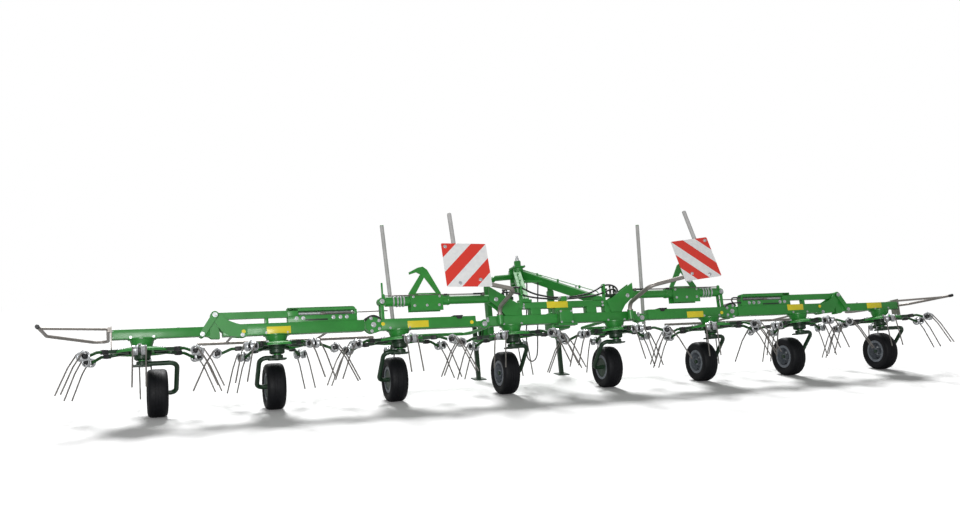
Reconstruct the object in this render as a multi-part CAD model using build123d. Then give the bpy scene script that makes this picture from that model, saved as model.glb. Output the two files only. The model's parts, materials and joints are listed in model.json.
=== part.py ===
"""An eight-rotor mounted hay tedder, standing on its wheels and parking stands.

X runs across the machine, Y forward to the tractor and Z up, in millimetres. The frame, rotors
and headstock are drawn in a level frame whose origin is the middle of the beams over the rotor
line, and are then tipped forward by PITCH_ANGLE, because the machine works with its front low.
The right-hand side is at +X. Every left-hand piece is a mirror image unless a table says otherwise.
"""
from build123d import *
import math
import os

# Whole machine
ROTOR_SPACING = 1100
INNER_ROTOR_X = 1.5 * ROTOR_SPACING
MIDDLE_ROTOR_X = 2.5 * ROTOR_SPACING
OUTER_ROTOR_X = 3.5 * ROTOR_SPACING
PITCH_ANGLE = 13.5
BEAM_HEIGHT = 720
FIT = 0.05            # radial clearance of a running fit
GAP = 1.0             # side clearance between hinge plates
SEAT = 0.05           # clearance between seated pieces of one body

# Beams
BEAM_WIDTH = 100
CENTRE_BEAM_HEIGHT = 90
ARM_BEAM_HEIGHT = 100
OUTER_BEAM_SIZE = 80
BEAM_WALL = 6
CENTRE_BEAM_HALF = ROTOR_SPACING / 2 + 230

# Arm hinges: distance from the middle of the machine and height over the beam's middle
HINGE_A_X, HINGE_A_Z = CENTRE_BEAM_HALF + 55, -30
HINGE_B_X, HINGE_B_Z = INNER_ROTOR_X + 245, 0
HINGE_C_X, HINGE_C_Z = MIDDLE_ROTOR_X + 515, 135
HINGE_PIN_RADIUS = 16
HINGE_PLATE = 12
LUG_A_RADIUS = 42
LUG_B_RADIUS = 72
LUG_C_RADIUS = 34
HINGE_CLEARANCE = 8

# Rotor drive pots, fixed shafts and rotors
POT_RADIUS = 95
POT_DEPTH = 55
POT_FLANGE_RADIUS = 112
POT_FLANGE = 8
SHAFT_RADIUS = 30
SHAFT_BOTTOM = -225
DISC_TOP = -117
DISC_RADIUS = 230
DISC_FLAT_RADIUS = 145
DISC_HEIGHT = 44
DISC_SHEET = 7
DISC_SLOPE = 22
HUB_RADIUS = 62
HUB_BOTTOM = -205
ARM_COUNT = 6
ARM_RADIUS = 16
ARM_ROOT = 50
COIL_CENTRE_RADIUS = 502
COIL_HEIGHT = -186
COIL_RADIUS = 32
COIL_WIDTH = 36
COIL_GAP = 16
TINE_WIRE = 9.5
TINE_TIP_RADIUS = 722
TINE_TIP_DROP = 300
TINE_KNEE_RADIUS = 590
TINE_KNEE_DROP = 84
ROTOR_PHASE_ODD = 27
ROTOR_PHASE_EVEN = 3

# Wheels and their carriers
TYRE_DIAMETER = 405
TYRE_WIDTH = 165
TYRE_SHOULDER = 26
RIM_RADIUS = 101.6
RIM_WIDTH = 136
RIM_SHEET = 6
RIM_FLANGE_RADIUS = 120
HUB_LENGTH = 110
WHEEL_HUB_RADIUS = 32
AXLE_RADIUS = 12.5
AXLE_FORWARD = 129
CARRIER_TUBE_RADIUS = 20
CARRIER_HEAD_RADIUS = 48
CARRIER_HEAD = 42
CARRIER_FOOT = 74
CARRIER_FOOT_PLATE = 14
CARRIER_OUT = 152
GUARD_DISC_RADIUS = 92
GUARD_DISC = 5

# From the left: the wheel's offset from its rotor and the side that its carrier tube is on
WHEELS = [(122, 1), (0, -1), (0, -1), (0, 1), (0, -1), (0, 1), (0, 1), (148, 1)]

# Centre frame and the yoke that hangs it from the headstock
TOP_TUBE_HALF = 550
TOP_TUBE_HEIGHT = 83
TOP_TUBE_DEPTH = 84
TOP_TUBE_GAP = 40
WEBS = [(0, 90), (150, 60), (262, 50), (420, 90), (520, 50)]      # middle, width
WING_PLATE = 12
WING_GAP = 84
WING_EDGE_X = CENTRE_BEAM_HALF - 30
CYLINDER_X, CYLINDER_Z = CENTRE_BEAM_HALF - 70, 210
EYE_X = INNER_ROTOR_X + 150
YOKE_FOOT_X = 390
YOKE_WIDTH = 76
YOKE_HEIGHT = 84
PIVOT_Y = 990
PIVOT_RADIUS = 36
PIVOT_WALL = 18
PIVOT_BOTTOM, PIVOT_TOP = 535, 680

# Headstock with its three linkage points
LOWER_LINK_X = 395
LOWER_LINK_Y, LOWER_LINK_Z = 1126, 23
LOWER_LINK_RADIUS = 14.35
LOWER_LINK_GAP = 68
LOWER_LINK_PLATE = 16
LOWER_LINK_EAR = 45
TOP_LINK_Y, TOP_LINK_Z = 1125, 650
TOP_LINK_RADIUS = 12.75
TOP_LINK_GAP = 54
TOP_LINK_PLATE = 16
ARCH_TUBE = 80
ARCH_HALF = 368
ARCH_TOP = 470
STAND_X = 480
STAND_SIDE = 40
STAND_Y = 1176
STAND_TOP = 150
STAND_FOOT = 130
STAND_FOOT_PLATE = 10
STAND_SLEEVE_WALL = 6

# Folding cylinders
BARREL_RADIUS = 44.5
ROD_RADIUS = 38
BARREL_LENGTH = 620
BARREL_BORE = 540
ROD_OVERLAP = 160
EYE_RADIUS = 30
EYE_WIDTH = 50
EYE_PLATE = 12
HOOK_PLATE = 16
HOOK_INNER_X, HOOK_OUTER_X = EYE_X - 575, EYE_X - 265
HOOK_APEX_X, HOOK_APEX_Z = EYE_X - 428, 530
HOOK_TIP_X, HOOK_TIP_Z = EYE_X - 285, 470

# Fold bar over the second arm
HOUSING_INNER_X, HOUSING_OUTER_X = MIDDLE_ROTOR_X - 675, MIDDLE_ROTOR_X - 130
HOUSING_HEIGHT = 102
HOUSING_WIDTH = 76
HOUSING_WALL = 7
BAR_HEIGHT = 58
BAR_WIDTH = 50
LINK_BOLT_X, LINK_BOLT_Z = MIDDLE_ROTOR_X + 280, -25
BAR_POST_X = LINK_BOLT_X - 200

# Guards, signs and poles
GUARD_TUBE = 28
GUARD_BRACE = 22
HOOP_Z = 54
HOOP_X = OUTER_ROTOR_X + 262
HOOP_ROUTE = [(0, 44), (0, 880), (128, 845), (478, 310), (513, -290)]     # out from HOOP_X, forward
HOOP_BRACE_END = (495, -165)
RAIL_Y = 885
RAIL_INNER_X, RAIL_OUTER_X = INNER_ROTOR_X + 10, OUTER_ROTOR_X - 510
RAIL_SUPPORTS = (MIDDLE_ROTOR_X - 520, MIDDLE_ROTOR_X + 330)
POLE_RADIUS = 19
FRONT_POLE_X, FRONT_POLE_Y = INNER_ROTOR_X - 217, 940
FRONT_POLE_TOP = 1145
FRONT_POLE_LEAN = 3
FRONT_GUARD_X = CENTRE_BEAM_HALF - 150
SIGN_SIDE = 423
SIGN_PLATE = 3
SIGN_X, SIGN_Y, SIGN_Z = 1180, -517, 441
SIGN_LEAN = 14.5
SIGN_POLE_OFFSET = 85
SIGN_POLE_TOP = 525
SIGN_TUBE = 40
SIGN_PIVOT_X, SIGN_PIVOT_Y = CENTRE_BEAM_HALF - 90, -92
SIGN_SOCKET_RADIUS = 30
SIGN_SOCKET_BOTTOM, SIGN_SOCKET_TOP = -45, 40

# Gearbox and the shaft stub towards the tractor
COVER_WIDTH, COVER_HEIGHT, COVER_DEPTH = 175, 160, 70
GEARBOX_WIDTH, GEARBOX_HEIGHT, GEARBOX_DEPTH = 200, 170, 190
STUB_RADIUS = 17.5
STUB_LENGTH = 90

# Cords: the rope loop that holds the parked drive shaft, and the hoses to the folding cylinders
ROPE_DIAMETER = 13
ROPE_BAR_Y, ROPE_BAR_Z = 650, 466
ROPE_ROUTE = [
    (-62, 650, 466), (-62, 650, 436), (-63, 671, 375), (-61, 701, 250), (-64, 738, 100), (-61, 776, -60),
    (-63, 809, -195), (-57, 828, -276), (-32, 839, -318), (2, 842, -330), (34, 839, -317), (58, 828, -274), (64, 809, -195),
    (62, 776, -60), (65, 738, 100), (62, 701, 250),
    (63, 671, 375), (62, 650, 436), (62, 650, 466),
]
HOSE_DIAMETER = 17
VALVE_HALF, VALVE_Y0, VALVE_Y1, VALVE_HEIGHT = 30, -62, 14, 44
HOSE_BRACKET_X, HOSE_BRACKET_WIDTH, HOSE_BRACKET_Y, HOSE_BRACKET_HEIGHT = 442, 35, 46, 150
HOSE_BRIDGE_X, HOSE_BRIDGE_Z, HOSE_BRIDGE_WIDTH, HOSE_BRIDGE_HEIGHT = 615, 205, 34, 22
HOSE_ROUTES = [
    [
        (30, -50, 198), (90, -50, 198), (150, -54, 204), (220, -60, 216), (285, -61, 230), (350, -60, 254),
        (410, -60, 288), (470, -60, 306), (530, -46, 306), (580, -28, 294), (608, -18, 272), (615, -17, 250),
        (615, -17, 205),
    ],
    [
        (30, -20, 186), (95, -20, 186), (165, -34, 190), (240, -50, 194), (315, -57, 202), (385, -57, 216),
        (450, -60, 236), (500, -46, 254), (555, -14, 268), (598, 11, 270), (615, 17, 250), (615, 17, 205),
    ],
]

TAU = math.radians(PITCH_ANGLE)
ROTOR_X = [(number - 4.5) * ROTOR_SPACING for number in range(1, 9)]
TILT = Location((0, 0, BEAM_HEIGHT), (-PITCH_ANGLE, 0, 0))


def level_point(world_y, world_z):
    """Level-frame y and z of a point given by its place over the ground."""
    up = world_z - BEAM_HEIGHT
    return (
        world_y * math.cos(TAU) - up * math.sin(TAU),
        world_y * math.sin(TAU) + up * math.cos(TAU),
    )


def block(x0, x1, y0, y1, z0, z1):
    """A box between two opposite corners."""
    middle = ((x0 + x1) / 2, (y0 + y1) / 2, (z0 + z1) / 2)
    return Pos(*middle) * Box(abs(x1 - x0), abs(y1 - y0), abs(z1 - z0))


def box_tube(x0, x1, half_width, z0, z1):
    """A rectangular tube along X that is open at both ends."""
    outer = block(x0, x1, -half_width, half_width, z0, z1)
    inner_y = half_width - BEAM_WALL
    return outer - block(x0, x1, -inner_y, inner_y, z0 + BEAM_WALL, z1 - BEAM_WALL)


def disc(centre, axis, radius, length):
    """A cylinder centred on a point, along X, Y or Z."""
    turn = {"X": Rot(0, 90, 0), "Y": Rot(90, 0, 0), "Z": Rot(0, 0, 0)}[axis]
    return Pos(*centre) * turn * Cylinder(radius, length)


def rod_between(start, end, radius):
    """A straight round bar from one point to another."""
    start, end = Vector(*start), Vector(*end)
    plane = Plane(origin=start, z_dir=end - start)
    return extrude(plane * Circle(radius), (end - start).length)


def side_plate(outline, y0, y1):
    """A flat plate between y0 and y1 whose outline is given in X and Z."""
    face = make_face(Polyline(*[(x, 0, z) for x, z in outline], close=True))
    plate = extrude(face, y1 - y0, dir=(0, 1, 0))
    return Pos(0, y0, 0) * plate


def bent_tube(points, radius, bend):
    """A round bar along straight runs that are joined by arcs of one radius."""
    path = FilletPolyline(*points, radius=bend)
    start = path.edges()[0]
    section = Plane(origin=start @ 0, z_dir=start % 0) * Circle(radius)
    return sweep(section, path=path)


def both_sides(build):
    """The right-hand solid and its mirror image, keyed by side."""
    right = build()
    return {"right": right, "left": mirror(right, Plane.YZ)}


def pot_and_shaft(x, beam_bottom):
    """A drive pot under a beam with the fixed shaft that carries rotor and wheel."""
    profile = [
        (0, beam_bottom), (POT_FLANGE_RADIUS, beam_bottom),
        (POT_FLANGE_RADIUS, beam_bottom - POT_FLANGE), (POT_RADIUS, beam_bottom - POT_FLANGE),
        (POT_RADIUS * 0.84, DISC_TOP + 6), (SHAFT_RADIUS, DISC_TOP + 6),
        (SHAFT_RADIUS, SHAFT_BOTTOM), (0, SHAFT_BOTTOM),
    ]
    face = make_face(Polyline(*[(r, 0, z) for r, z in profile], close=True))
    return Pos(x, 0, 0) * revolve(face, Axis.Z)


def lug_pair(x, z, radius, inner_y, reach_x, reach_z0, reach_z1):
    """Two round-ended hinge plates that reach from a pin to a beam end, bored for the pin."""
    plates = None
    for side in (-1, 1):
        y0, y1 = sorted((side * inner_y, side * (inner_y + HINGE_PLATE)))
        arm = block(min(x, reach_x), max(x, reach_x), y0, y1, reach_z0, reach_z1)
        plate = disc((x, (y0 + y1) / 2, z), "Y", radius, HINGE_PLATE) + arm
        plates = plate if plates is None else plates + plate
    return plates - disc((x, 0, z), "Y", HINGE_PIN_RADIUS + FIT, 4 * inner_y)


def tongue(x, z, radius, half_width, reach_x, reach_z0, reach_z1):
    """The hinge tongue and pin that turn between a pair of lugs."""
    body = disc((x, 0, z), "Y", radius, 2 * half_width)
    body += block(min(x, reach_x), max(x, reach_x), -half_width, half_width, reach_z0, reach_z1)
    body += block(reach_x - 1, reach_x + BEAM_WALL, -BEAM_WIDTH / 2, BEAM_WIDTH / 2,
                  -ARM_BEAM_HEIGHT / 2, ARM_BEAM_HEIGHT / 2)
    return body + disc((x, 0, z), "Y", HINGE_PIN_RADIUS, 2 * (half_width + GAP + HINGE_PLATE + 5))


def centre_frame():
    half = CENTRE_BEAM_HEIGHT / 2 + 5
    top = CENTRE_BEAM_HEIGHT - half
    y = BEAM_WIDTH / 2
    frame = box_tube(-CENTRE_BEAM_HALF, CENTRE_BEAM_HALF, y, -half, top)
    tube_z0 = top + TOP_TUBE_GAP
    tube_z1 = tube_z0 + TOP_TUBE_HEIGHT
    tube = block(-TOP_TUBE_HALF, TOP_TUBE_HALF, -TOP_TUBE_DEPTH / 2, TOP_TUBE_DEPTH / 2, tube_z0, tube_z1)
    tube = fillet(tube.edges().filter_by(Axis.X), TOP_TUBE_HEIGHT / 4)
    inside = block(-TOP_TUBE_HALF, TOP_TUBE_HALF, BEAM_WALL - TOP_TUBE_DEPTH / 2,
                   TOP_TUBE_DEPTH / 2 - BEAM_WALL, tube_z0 + BEAM_WALL, tube_z1 - BEAM_WALL)
    frame += tube - fillet(inside.edges().filter_by(Axis.X), TOP_TUBE_HEIGHT / 4 - BEAM_WALL)
    for middle, width in WEBS:
        for side in (-1, 1):
            x = side * middle
            web = block(x - width / 2, x + width / 2, -TOP_TUBE_DEPTH / 2 + 8, TOP_TUBE_DEPTH / 2 - 8,
                        top - 1, tube_z0 + 1)
            frame += web
    lug_y = BEAM_WIDTH / 2 - HINGE_PLATE
    for side in (-1, 1):
        x = side * HINGE_A_X
        frame += lug_pair(x, HINGE_A_Z, LUG_A_RADIUS, lug_y, side * (CENTRE_BEAM_HALF - 2),
                          HINGE_A_Z - 20, HINGE_A_Z + LUG_A_RADIUS - 4)
        # Wing plates rise outwards to the inner pin of the folding cylinder
        outline = [
            (side * 500, top - 1), (side * (WING_EDGE_X - 12), top - 1), (side * WING_EDGE_X, CYLINDER_Z - 12),
            (side * (WING_EDGE_X - 12), CYLINDER_Z + 56), (side * 470, tube_z1 - 20),
        ]
        for wing in (-1, 1):
            y0, y1 = sorted((wing * WING_GAP / 2, wing * (WING_GAP / 2 + WING_PLATE)))
            frame += side_plate(outline, y0, y1)
        eye = disc((side * CYLINDER_X, 0, CYLINDER_Z), "Y", 16, WING_GAP + 4 * WING_PLATE)
        frame -= eye
        for inner in (-ROTOR_SPACING / 2, ROTOR_SPACING / 2):
            frame += pot_and_shaft(inner, -half)
        socket = disc((side * SIGN_PIVOT_X, SIGN_PIVOT_Y, (SIGN_SOCKET_BOTTOM + SIGN_SOCKET_TOP) / 2), "Z",
                      SIGN_SOCKET_RADIUS, SIGN_SOCKET_TOP - SIGN_SOCKET_BOTTOM)
        web = block(side * SIGN_PIVOT_X - 8, side * SIGN_PIVOT_X + 8, SIGN_PIVOT_Y, -y + 1,
                    SIGN_SOCKET_BOTTOM, SIGN_SOCKET_TOP)
        bore = disc((side * SIGN_PIVOT_X, SIGN_PIVOT_Y, 0), "Z", SIGN_TUBE / 2 + FIT, 300)
        frame = frame + socket + web - bore
        # What the hydraulic hoses run over and end in
        x0, x1 = (side * (HOSE_BRACKET_X + edge * HOSE_BRACKET_WIDTH / 2) for edge in (-1, 1))
        frame += block(x0, x1, -HOSE_BRACKET_Y, -TOP_TUBE_DEPTH / 2 + BEAM_WALL, tube_z1 - 30,
                       tube_z1 + HOSE_BRACKET_HEIGHT)
        x0, x1 = (side * (HOSE_BRIDGE_X + edge * HOSE_BRIDGE_WIDTH / 2) for edge in (-1, 1))
        frame += block(x0, x1, -WING_GAP / 2 - 2, WING_GAP / 2 + 2, HOSE_BRIDGE_Z - HOSE_BRIDGE_HEIGHT,
                       HOSE_BRIDGE_Z)
    frame += block(-VALVE_HALF, VALVE_HALF, VALVE_Y0, VALVE_Y1, tube_z1 - 2, tube_z1 + VALVE_HEIGHT)
    return frame


def yoke(frame):
    """Two sloping beams from the pivot tube down to the top tube of the centre frame."""
    outer = PIVOT_RADIUS + PIVOT_WALL
    middle = (PIVOT_BOTTOM + PIVOT_TOP) / 2
    housing = disc((0, PIVOT_Y, middle), "Z", outer, PIVOT_TOP - PIVOT_BOTTOM)
    body = housing
    foot_z = CENTRE_BEAM_HEIGHT / 2 + TOP_TUBE_GAP + TOP_TUBE_HEIGHT
    for side in (-1, 1):
        start = Vector(side * 26, PIVOT_Y - 20, middle + 6)
        end = Vector(side * YOKE_FOOT_X, -20, foot_z - 8)
        along = (end - start).normalized()
        plane = Plane(origin=start, x_dir=along.cross(Vector(0, 0, 1)), z_dir=along)
        body += extrude(plane * Rectangle(YOKE_WIDTH, YOKE_HEIGHT), (end - start).length)
        foot = block(side * YOKE_FOOT_X - 60, side * YOKE_FOOT_X + 60, -TOP_TUBE_DEPTH / 2, TOP_TUBE_DEPTH / 2,
                     foot_z - BEAM_WALL + GAP, foot_z + 20)
        body += foot
    body += block(-150, 150, ROPE_BAR_Y - 14, ROPE_BAR_Y + 14, ROPE_BAR_Z, ROPE_BAR_Z + 24)
    body -= disc((0, PIVOT_Y, middle), "Z", PIVOT_RADIUS + FIT, 400)
    tube_inside = TOP_TUBE_DEPTH / 2 - BEAM_WALL
    body -= block(-TOP_TUBE_HALF, TOP_TUBE_HALF, -tube_inside, tube_inside, foot_z - TOP_TUBE_HEIGHT,
                  foot_z - BEAM_WALL)
    return body - frame


def gearbox(frame):
    """The bevel gearbox in the centre frame with its shaft stub and the cover behind."""
    y = BEAM_WIDTH / 2
    cover = block(-COVER_WIDTH / 2, COVER_WIDTH / 2, -y - COVER_DEPTH, -y, -44, COVER_HEIGHT - 44)
    cover = fillet(cover.edges().filter_by(Axis.Z), 12)
    lip = block(-COVER_WIDTH / 2 - 8, COVER_WIDTH / 2 + 8, -y - COVER_DEPTH - 8, -y, -56, -44)
    case = block(-GEARBOX_WIDTH / 2, GEARBOX_WIDTH / 2, y, y + GEARBOX_DEPTH, -95, GEARBOX_HEIGHT - 95)
    case = fillet(case.edges().filter_by(Axis.Y), 24)
    neck = disc((0, y + GEARBOX_DEPTH + 20, -15), "Y", 48, 40)
    stub = disc((0, y + GEARBOX_DEPTH + 40 + STUB_LENGTH / 2, -15), "Y", STUB_RADIUS, STUB_LENGTH)
    return [(cover + lip) - frame, (case + neck + stub) - frame]


def front_guard(frame):
    """One bent tube on each side carries a front pole beside the headstock."""
    solids = []
    for side in (-1, 1):
        y = BEAM_WIDTH / 2
        route = [(side * FRONT_GUARD_X, y, 0), (side * FRONT_GUARD_X, FRONT_POLE_Y, 0),
                 (side * (FRONT_POLE_X - 10), FRONT_POLE_Y, 0)]
        tube = bent_tube(route, GUARD_TUBE / 2 + 3, 90)
        plate = block(side * FRONT_GUARD_X - 45, side * FRONT_GUARD_X + 45, y, y + 8, -40, 40)
        base = (side * (FRONT_POLE_X - 9), FRONT_POLE_Y, -30)
        lean = math.radians(FRONT_POLE_LEAN)
        top = (base[0] + side * (FRONT_POLE_TOP + 30) * math.tan(lean), FRONT_POLE_Y, FRONT_POLE_TOP)
        solids.append((tube + plate + rod_between(base, top, POLE_RADIUS)) - frame)
    return solids


def headstock():
    """The frame that the tractor's three-point linkage takes, with its pivot pin and stand sleeves."""
    half = ARCH_TUBE / 2
    pin = disc((0, PIVOT_Y, (ARCH_TOP + PIVOT_TOP + 80) / 2), "Z", PIVOT_RADIUS, PIVOT_TOP + 80 - ARCH_TOP)
    body = pin
    for z0 in (PIVOT_BOTTOM - 2 * GAP - 20, PIVOT_TOP + 2 * GAP):
        body += block(-60, 60, PIVOT_Y - 58, TOP_LINK_Y - 30, z0, z0 + 20)
    back = block(-60, 60, TOP_LINK_Y - 50, TOP_LINK_Y - 30, ARCH_TOP - half, PIVOT_TOP + 2 * GAP + 20)
    body += back
    body += block(-ARCH_HALF, ARCH_HALF, PIVOT_Y - half + 30, PIVOT_Y + half + 30, ARCH_TOP - half, ARCH_TOP + half)
    for side in (-1, 1):
        x0, x1 = side * (TOP_LINK_GAP / 2), side * (TOP_LINK_GAP / 2 + TOP_LINK_PLATE)
        outline_y = (TOP_LINK_Y - 32, TOP_LINK_Y)
        plate = block(x0, x1, *outline_y, TOP_LINK_Z - 42, TOP_LINK_Z + 42)
        plate += disc(((x0 + x1) / 2, TOP_LINK_Y, TOP_LINK_Z), "X", 42, TOP_LINK_PLATE)
        body += plate
        # Leg of the arch, down to the lower linkage ears
        leg_y0, leg_y1 = PIVOT_Y - half + 30, PIVOT_Y + half + 30
        leg_x = side * (ARCH_HALF - 4)
        leg = block(leg_x - half, leg_x + half, leg_y0, leg_y1, -110, ARCH_TOP + half)
        ears = None
        for edge in (-1, 1):
            ear_x = side * LOWER_LINK_X + edge * (LOWER_LINK_GAP + LOWER_LINK_PLATE) / 2
            ear = block(ear_x - LOWER_LINK_PLATE / 2, ear_x + LOWER_LINK_PLATE / 2, leg_y1 - 20, LOWER_LINK_Y,
                        LOWER_LINK_Z - LOWER_LINK_EAR, LOWER_LINK_Z + LOWER_LINK_EAR)
            ear += disc((ear_x, LOWER_LINK_Y, LOWER_LINK_Z), "X", LOWER_LINK_EAR, LOWER_LINK_PLATE)
            ears = ear if ears is None else ears + ear
        ears += block(leg_x, side * (LOWER_LINK_X + LOWER_LINK_GAP / 2 + LOWER_LINK_PLATE), leg_y1 - 20,
                      leg_y1 + 6, LOWER_LINK_Z - LOWER_LINK_EAR, LOWER_LINK_Z + LOWER_LINK_EAR)
        ears -= disc((side * LOWER_LINK_X, LOWER_LINK_Y, LOWER_LINK_Z), "X", LOWER_LINK_RADIUS, 200)
        sleeve_half = STAND_SIDE / 2 + STAND_SLEEVE_WALL
        sleeve_z0, sleeve_z1 = -110, LOWER_LINK_Z - LOWER_LINK_EAR - 8
        sleeve = block(side * STAND_X - sleeve_half, side * STAND_X + sleeve_half,
                       leg_y1 - 10, STAND_Y + sleeve_half, sleeve_z0, sleeve_z1)
        sleeve += block(leg_x, side * (STAND_X + sleeve_half), leg_y1 - 30, leg_y1, sleeve_z0, sleeve_z1)
        hole = STAND_SIDE / 2 + FIT
        sleeve -= block(side * STAND_X - hole, side * STAND_X + hole, STAND_Y - hole, STAND_Y + hole, -300, 300)
        body = body + leg + ears + sleeve
    for side in (-1, 1):
        body -= disc((side * (TOP_LINK_GAP / 2 + TOP_LINK_PLATE / 2), TOP_LINK_Y, TOP_LINK_Z), "X",
                     TOP_LINK_RADIUS, 2 * TOP_LINK_PLATE)
    return body


def stand():
    """A parking leg whose foot lies flat on the ground. Built where it stands."""
    leg = TILT * block(STAND_X - STAND_SIDE / 2, STAND_X + STAND_SIDE / 2,
                       STAND_Y - STAND_SIDE / 2, STAND_Y + STAND_SIDE / 2, -900, STAND_TOP)
    foot_y = (STAND_Y - BEAM_HEIGHT * math.sin(TAU)) / math.cos(TAU)
    foot = block(STAND_X - STAND_FOOT / 2, STAND_X + STAND_FOOT / 2, foot_y - STAND_FOOT / 2,
                 foot_y + STAND_FOOT / 2, 0, STAND_FOOT_PLATE)
    leg -= block(STAND_X - 200, STAND_X + 200, -2000, 2000, -1000, STAND_FOOT_PLATE / 2)
    return leg + foot


def arm_a():
    h = ARM_BEAM_HEIGHT / 2
    y = BEAM_WIDTH / 2
    lug_y = y - HINGE_PLATE
    inner = HINGE_A_X + 80
    outer = HINGE_B_X - LUG_B_RADIUS - HINGE_CLEARANCE
    arm = box_tube(inner, outer, y, -h, h)
    arm += tongue(HINGE_A_X, HINGE_A_Z, LUG_A_RADIUS - 3, lug_y - GAP, inner + 1, HINGE_A_Z - 18,
                  HINGE_A_Z + 30)
    arm += lug_pair(HINGE_B_X, HINGE_B_Z, LUG_B_RADIUS, lug_y, outer - 1, -h, h)
    arm += pot_and_shaft(1.5 * ROTOR_SPACING, -h)
    # Ears for the outer eye of the folding cylinder
    for side in (-1, 1):
        y0, y1 = sorted((side * (EYE_WIDTH / 2 + GAP), side * (EYE_WIDTH / 2 + GAP + EYE_PLATE)))
        ear = block(EYE_X - 34, EYE_X + 34, y0, y1, h - 1, CYLINDER_Z)
        ear += disc((EYE_X, (y0 + y1) / 2, CYLINDER_Z), "Y", 34, EYE_PLATE)
        arm += ear
    arm += disc((EYE_X, 0, CYLINDER_Z), "Y", HINGE_PIN_RADIUS, EYE_WIDTH + 2 * (GAP + EYE_PLATE) + 12)
    return arm


def arm_b():
    h = ARM_BEAM_HEIGHT / 2
    y = BEAM_WIDTH / 2
    lug_y = y - HINGE_PLATE
    inner = HINGE_B_X + LUG_B_RADIUS + HINGE_CLEARANCE
    outer = HINGE_C_X - 60
    arm = box_tube(inner, outer, y, -h, h)
    arm += tongue(HINGE_B_X, HINGE_B_Z, LUG_B_RADIUS - 4, lug_y - GAP, inner + 1, -36, 36)
    arm += pot_and_shaft(2.5 * ROTOR_SPACING, -h)
    housing = block(HOUSING_INNER_X, HOUSING_OUTER_X, -HOUSING_WIDTH / 2, HOUSING_WIDTH / 2, h - 1,
                    h + HOUSING_HEIGHT)
    housing = fillet(housing.edges().filter_by(Axis.Y).sort_by(Axis.X)[:2].sort_by(Axis.Z)[-1:],
                     HOUSING_HEIGHT / 2.2)
    inside = HOUSING_WIDTH / 2 - HOUSING_WALL
    housing -= block(HOUSING_INNER_X + 60, HOUSING_OUTER_X - 30, -inside, inside, h + 12,
                     h + HOUSING_HEIGHT - HOUSING_WALL)
    slot = block(HOUSING_INNER_X + 110, HOUSING_OUTER_X - 110, -HOUSING_WIDTH, HOUSING_WIDTH, h + 42, h + 78)
    slot = fillet(slot.edges().filter_by(Axis.Y), 17)
    housing -= slot
    housing -= disc((HOUSING_OUTER_X, 0, HINGE_C_Z - 8), "X", 16, 200)
    arm += housing
    arm += block(BAR_POST_X - 15, BAR_POST_X + 15, -BAR_WIDTH / 2, BAR_WIDTH / 2, h - 1, HINGE_C_Z - 8 - BAR_HEIGHT / 2 - SEAT)
    # Curved plates that carry the hinge pin of the outer arm
    for side in (-1, 1):
        y0, y1 = sorted((side * (lug_y + GAP + 1), side * (lug_y + GAP + 1 + HINGE_PLATE)))
        outline = [
            (LINK_BOLT_X - 34, LINK_BOLT_Z - 20), (LINK_BOLT_X + 22, LINK_BOLT_Z - 24),
            (HINGE_C_X - 125, HINGE_C_Z - 89), (HINGE_C_X - 60, HINGE_C_Z - 51), (HINGE_C_X + 18, HINGE_C_Z - 28),
            (HINGE_C_X, HINGE_C_Z + 30), (HINGE_C_X - 50, HINGE_C_Z + 12), (HINGE_C_X - 145, HINGE_C_Z - 23),
            (LINK_BOLT_X - 10, LINK_BOLT_Z + 62),
        ]
        plate = side_plate(outline, y0, y1)
        arm += plate + disc((HINGE_C_X, (y0 + y1) / 2, HINGE_C_Z), "Y", LUG_C_RADIUS, HINGE_PLATE)
    arm += disc((HINGE_C_X, 0, HINGE_C_Z), "Y", HINGE_PIN_RADIUS, 2 * (lug_y + GAP + 1 + HINGE_PLATE) + 10)
    return arm


def fold_bar():
    """The pushing bar over the second arm, from the hinge pin into its housing."""
    z = HINGE_C_Z - 8
    bar = block(HOUSING_OUTER_X + SEAT, HINGE_C_X - 20, -BAR_WIDTH / 2, BAR_WIDTH / 2, z - BAR_HEIGHT / 2,
                z + BAR_HEIGHT / 2)
    bar += disc((HINGE_C_X, 0, HINGE_C_Z), "Y", LUG_C_RADIUS - 2, BAR_WIDTH - 2)
    bar += rod_between((HOUSING_INNER_X + 130, 0, z), (HOUSING_OUTER_X + 2, 0, z), 15)
    return bar - disc((HINGE_C_X, 0, HINGE_C_Z), "Y", HINGE_PIN_RADIUS + FIT, 200)


def arm_c():
    h = OUTER_BEAM_SIZE / 2
    y = OUTER_BEAM_SIZE / 2
    inner = HINGE_C_X + 42
    outer = HOOP_X - GUARD_TUBE
    arm = box_tube(inner, outer, y, -h, h)
    arm += pot_and_shaft(3.5 * ROTOR_SPACING, -h)
    for side in (-1, 1):
        y0, y1 = sorted((side * (BAR_WIDTH / 2 + GAP), side * (BAR_WIDTH / 2 + GAP + HINGE_PLATE - 2)))
        outline = [(inner + 2, h - 2), (inner + 150, h - 2), (inner + 60, 92), (HINGE_C_X + 20, HINGE_C_Z + 26),
                   (HINGE_C_X - 24, HINGE_C_Z - 20), (inner + 2, 60)]
        plate = side_plate(outline, y0, y1)
        arm += plate + disc((HINGE_C_X, (y0 + y1) / 2, HINGE_C_Z), "Y", LUG_C_RADIUS - 2, HINGE_PLATE - 2)
    return arm - disc((HINGE_C_X, 0, HINGE_C_Z), "Y", HINGE_PIN_RADIUS + FIT, 200)


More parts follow.
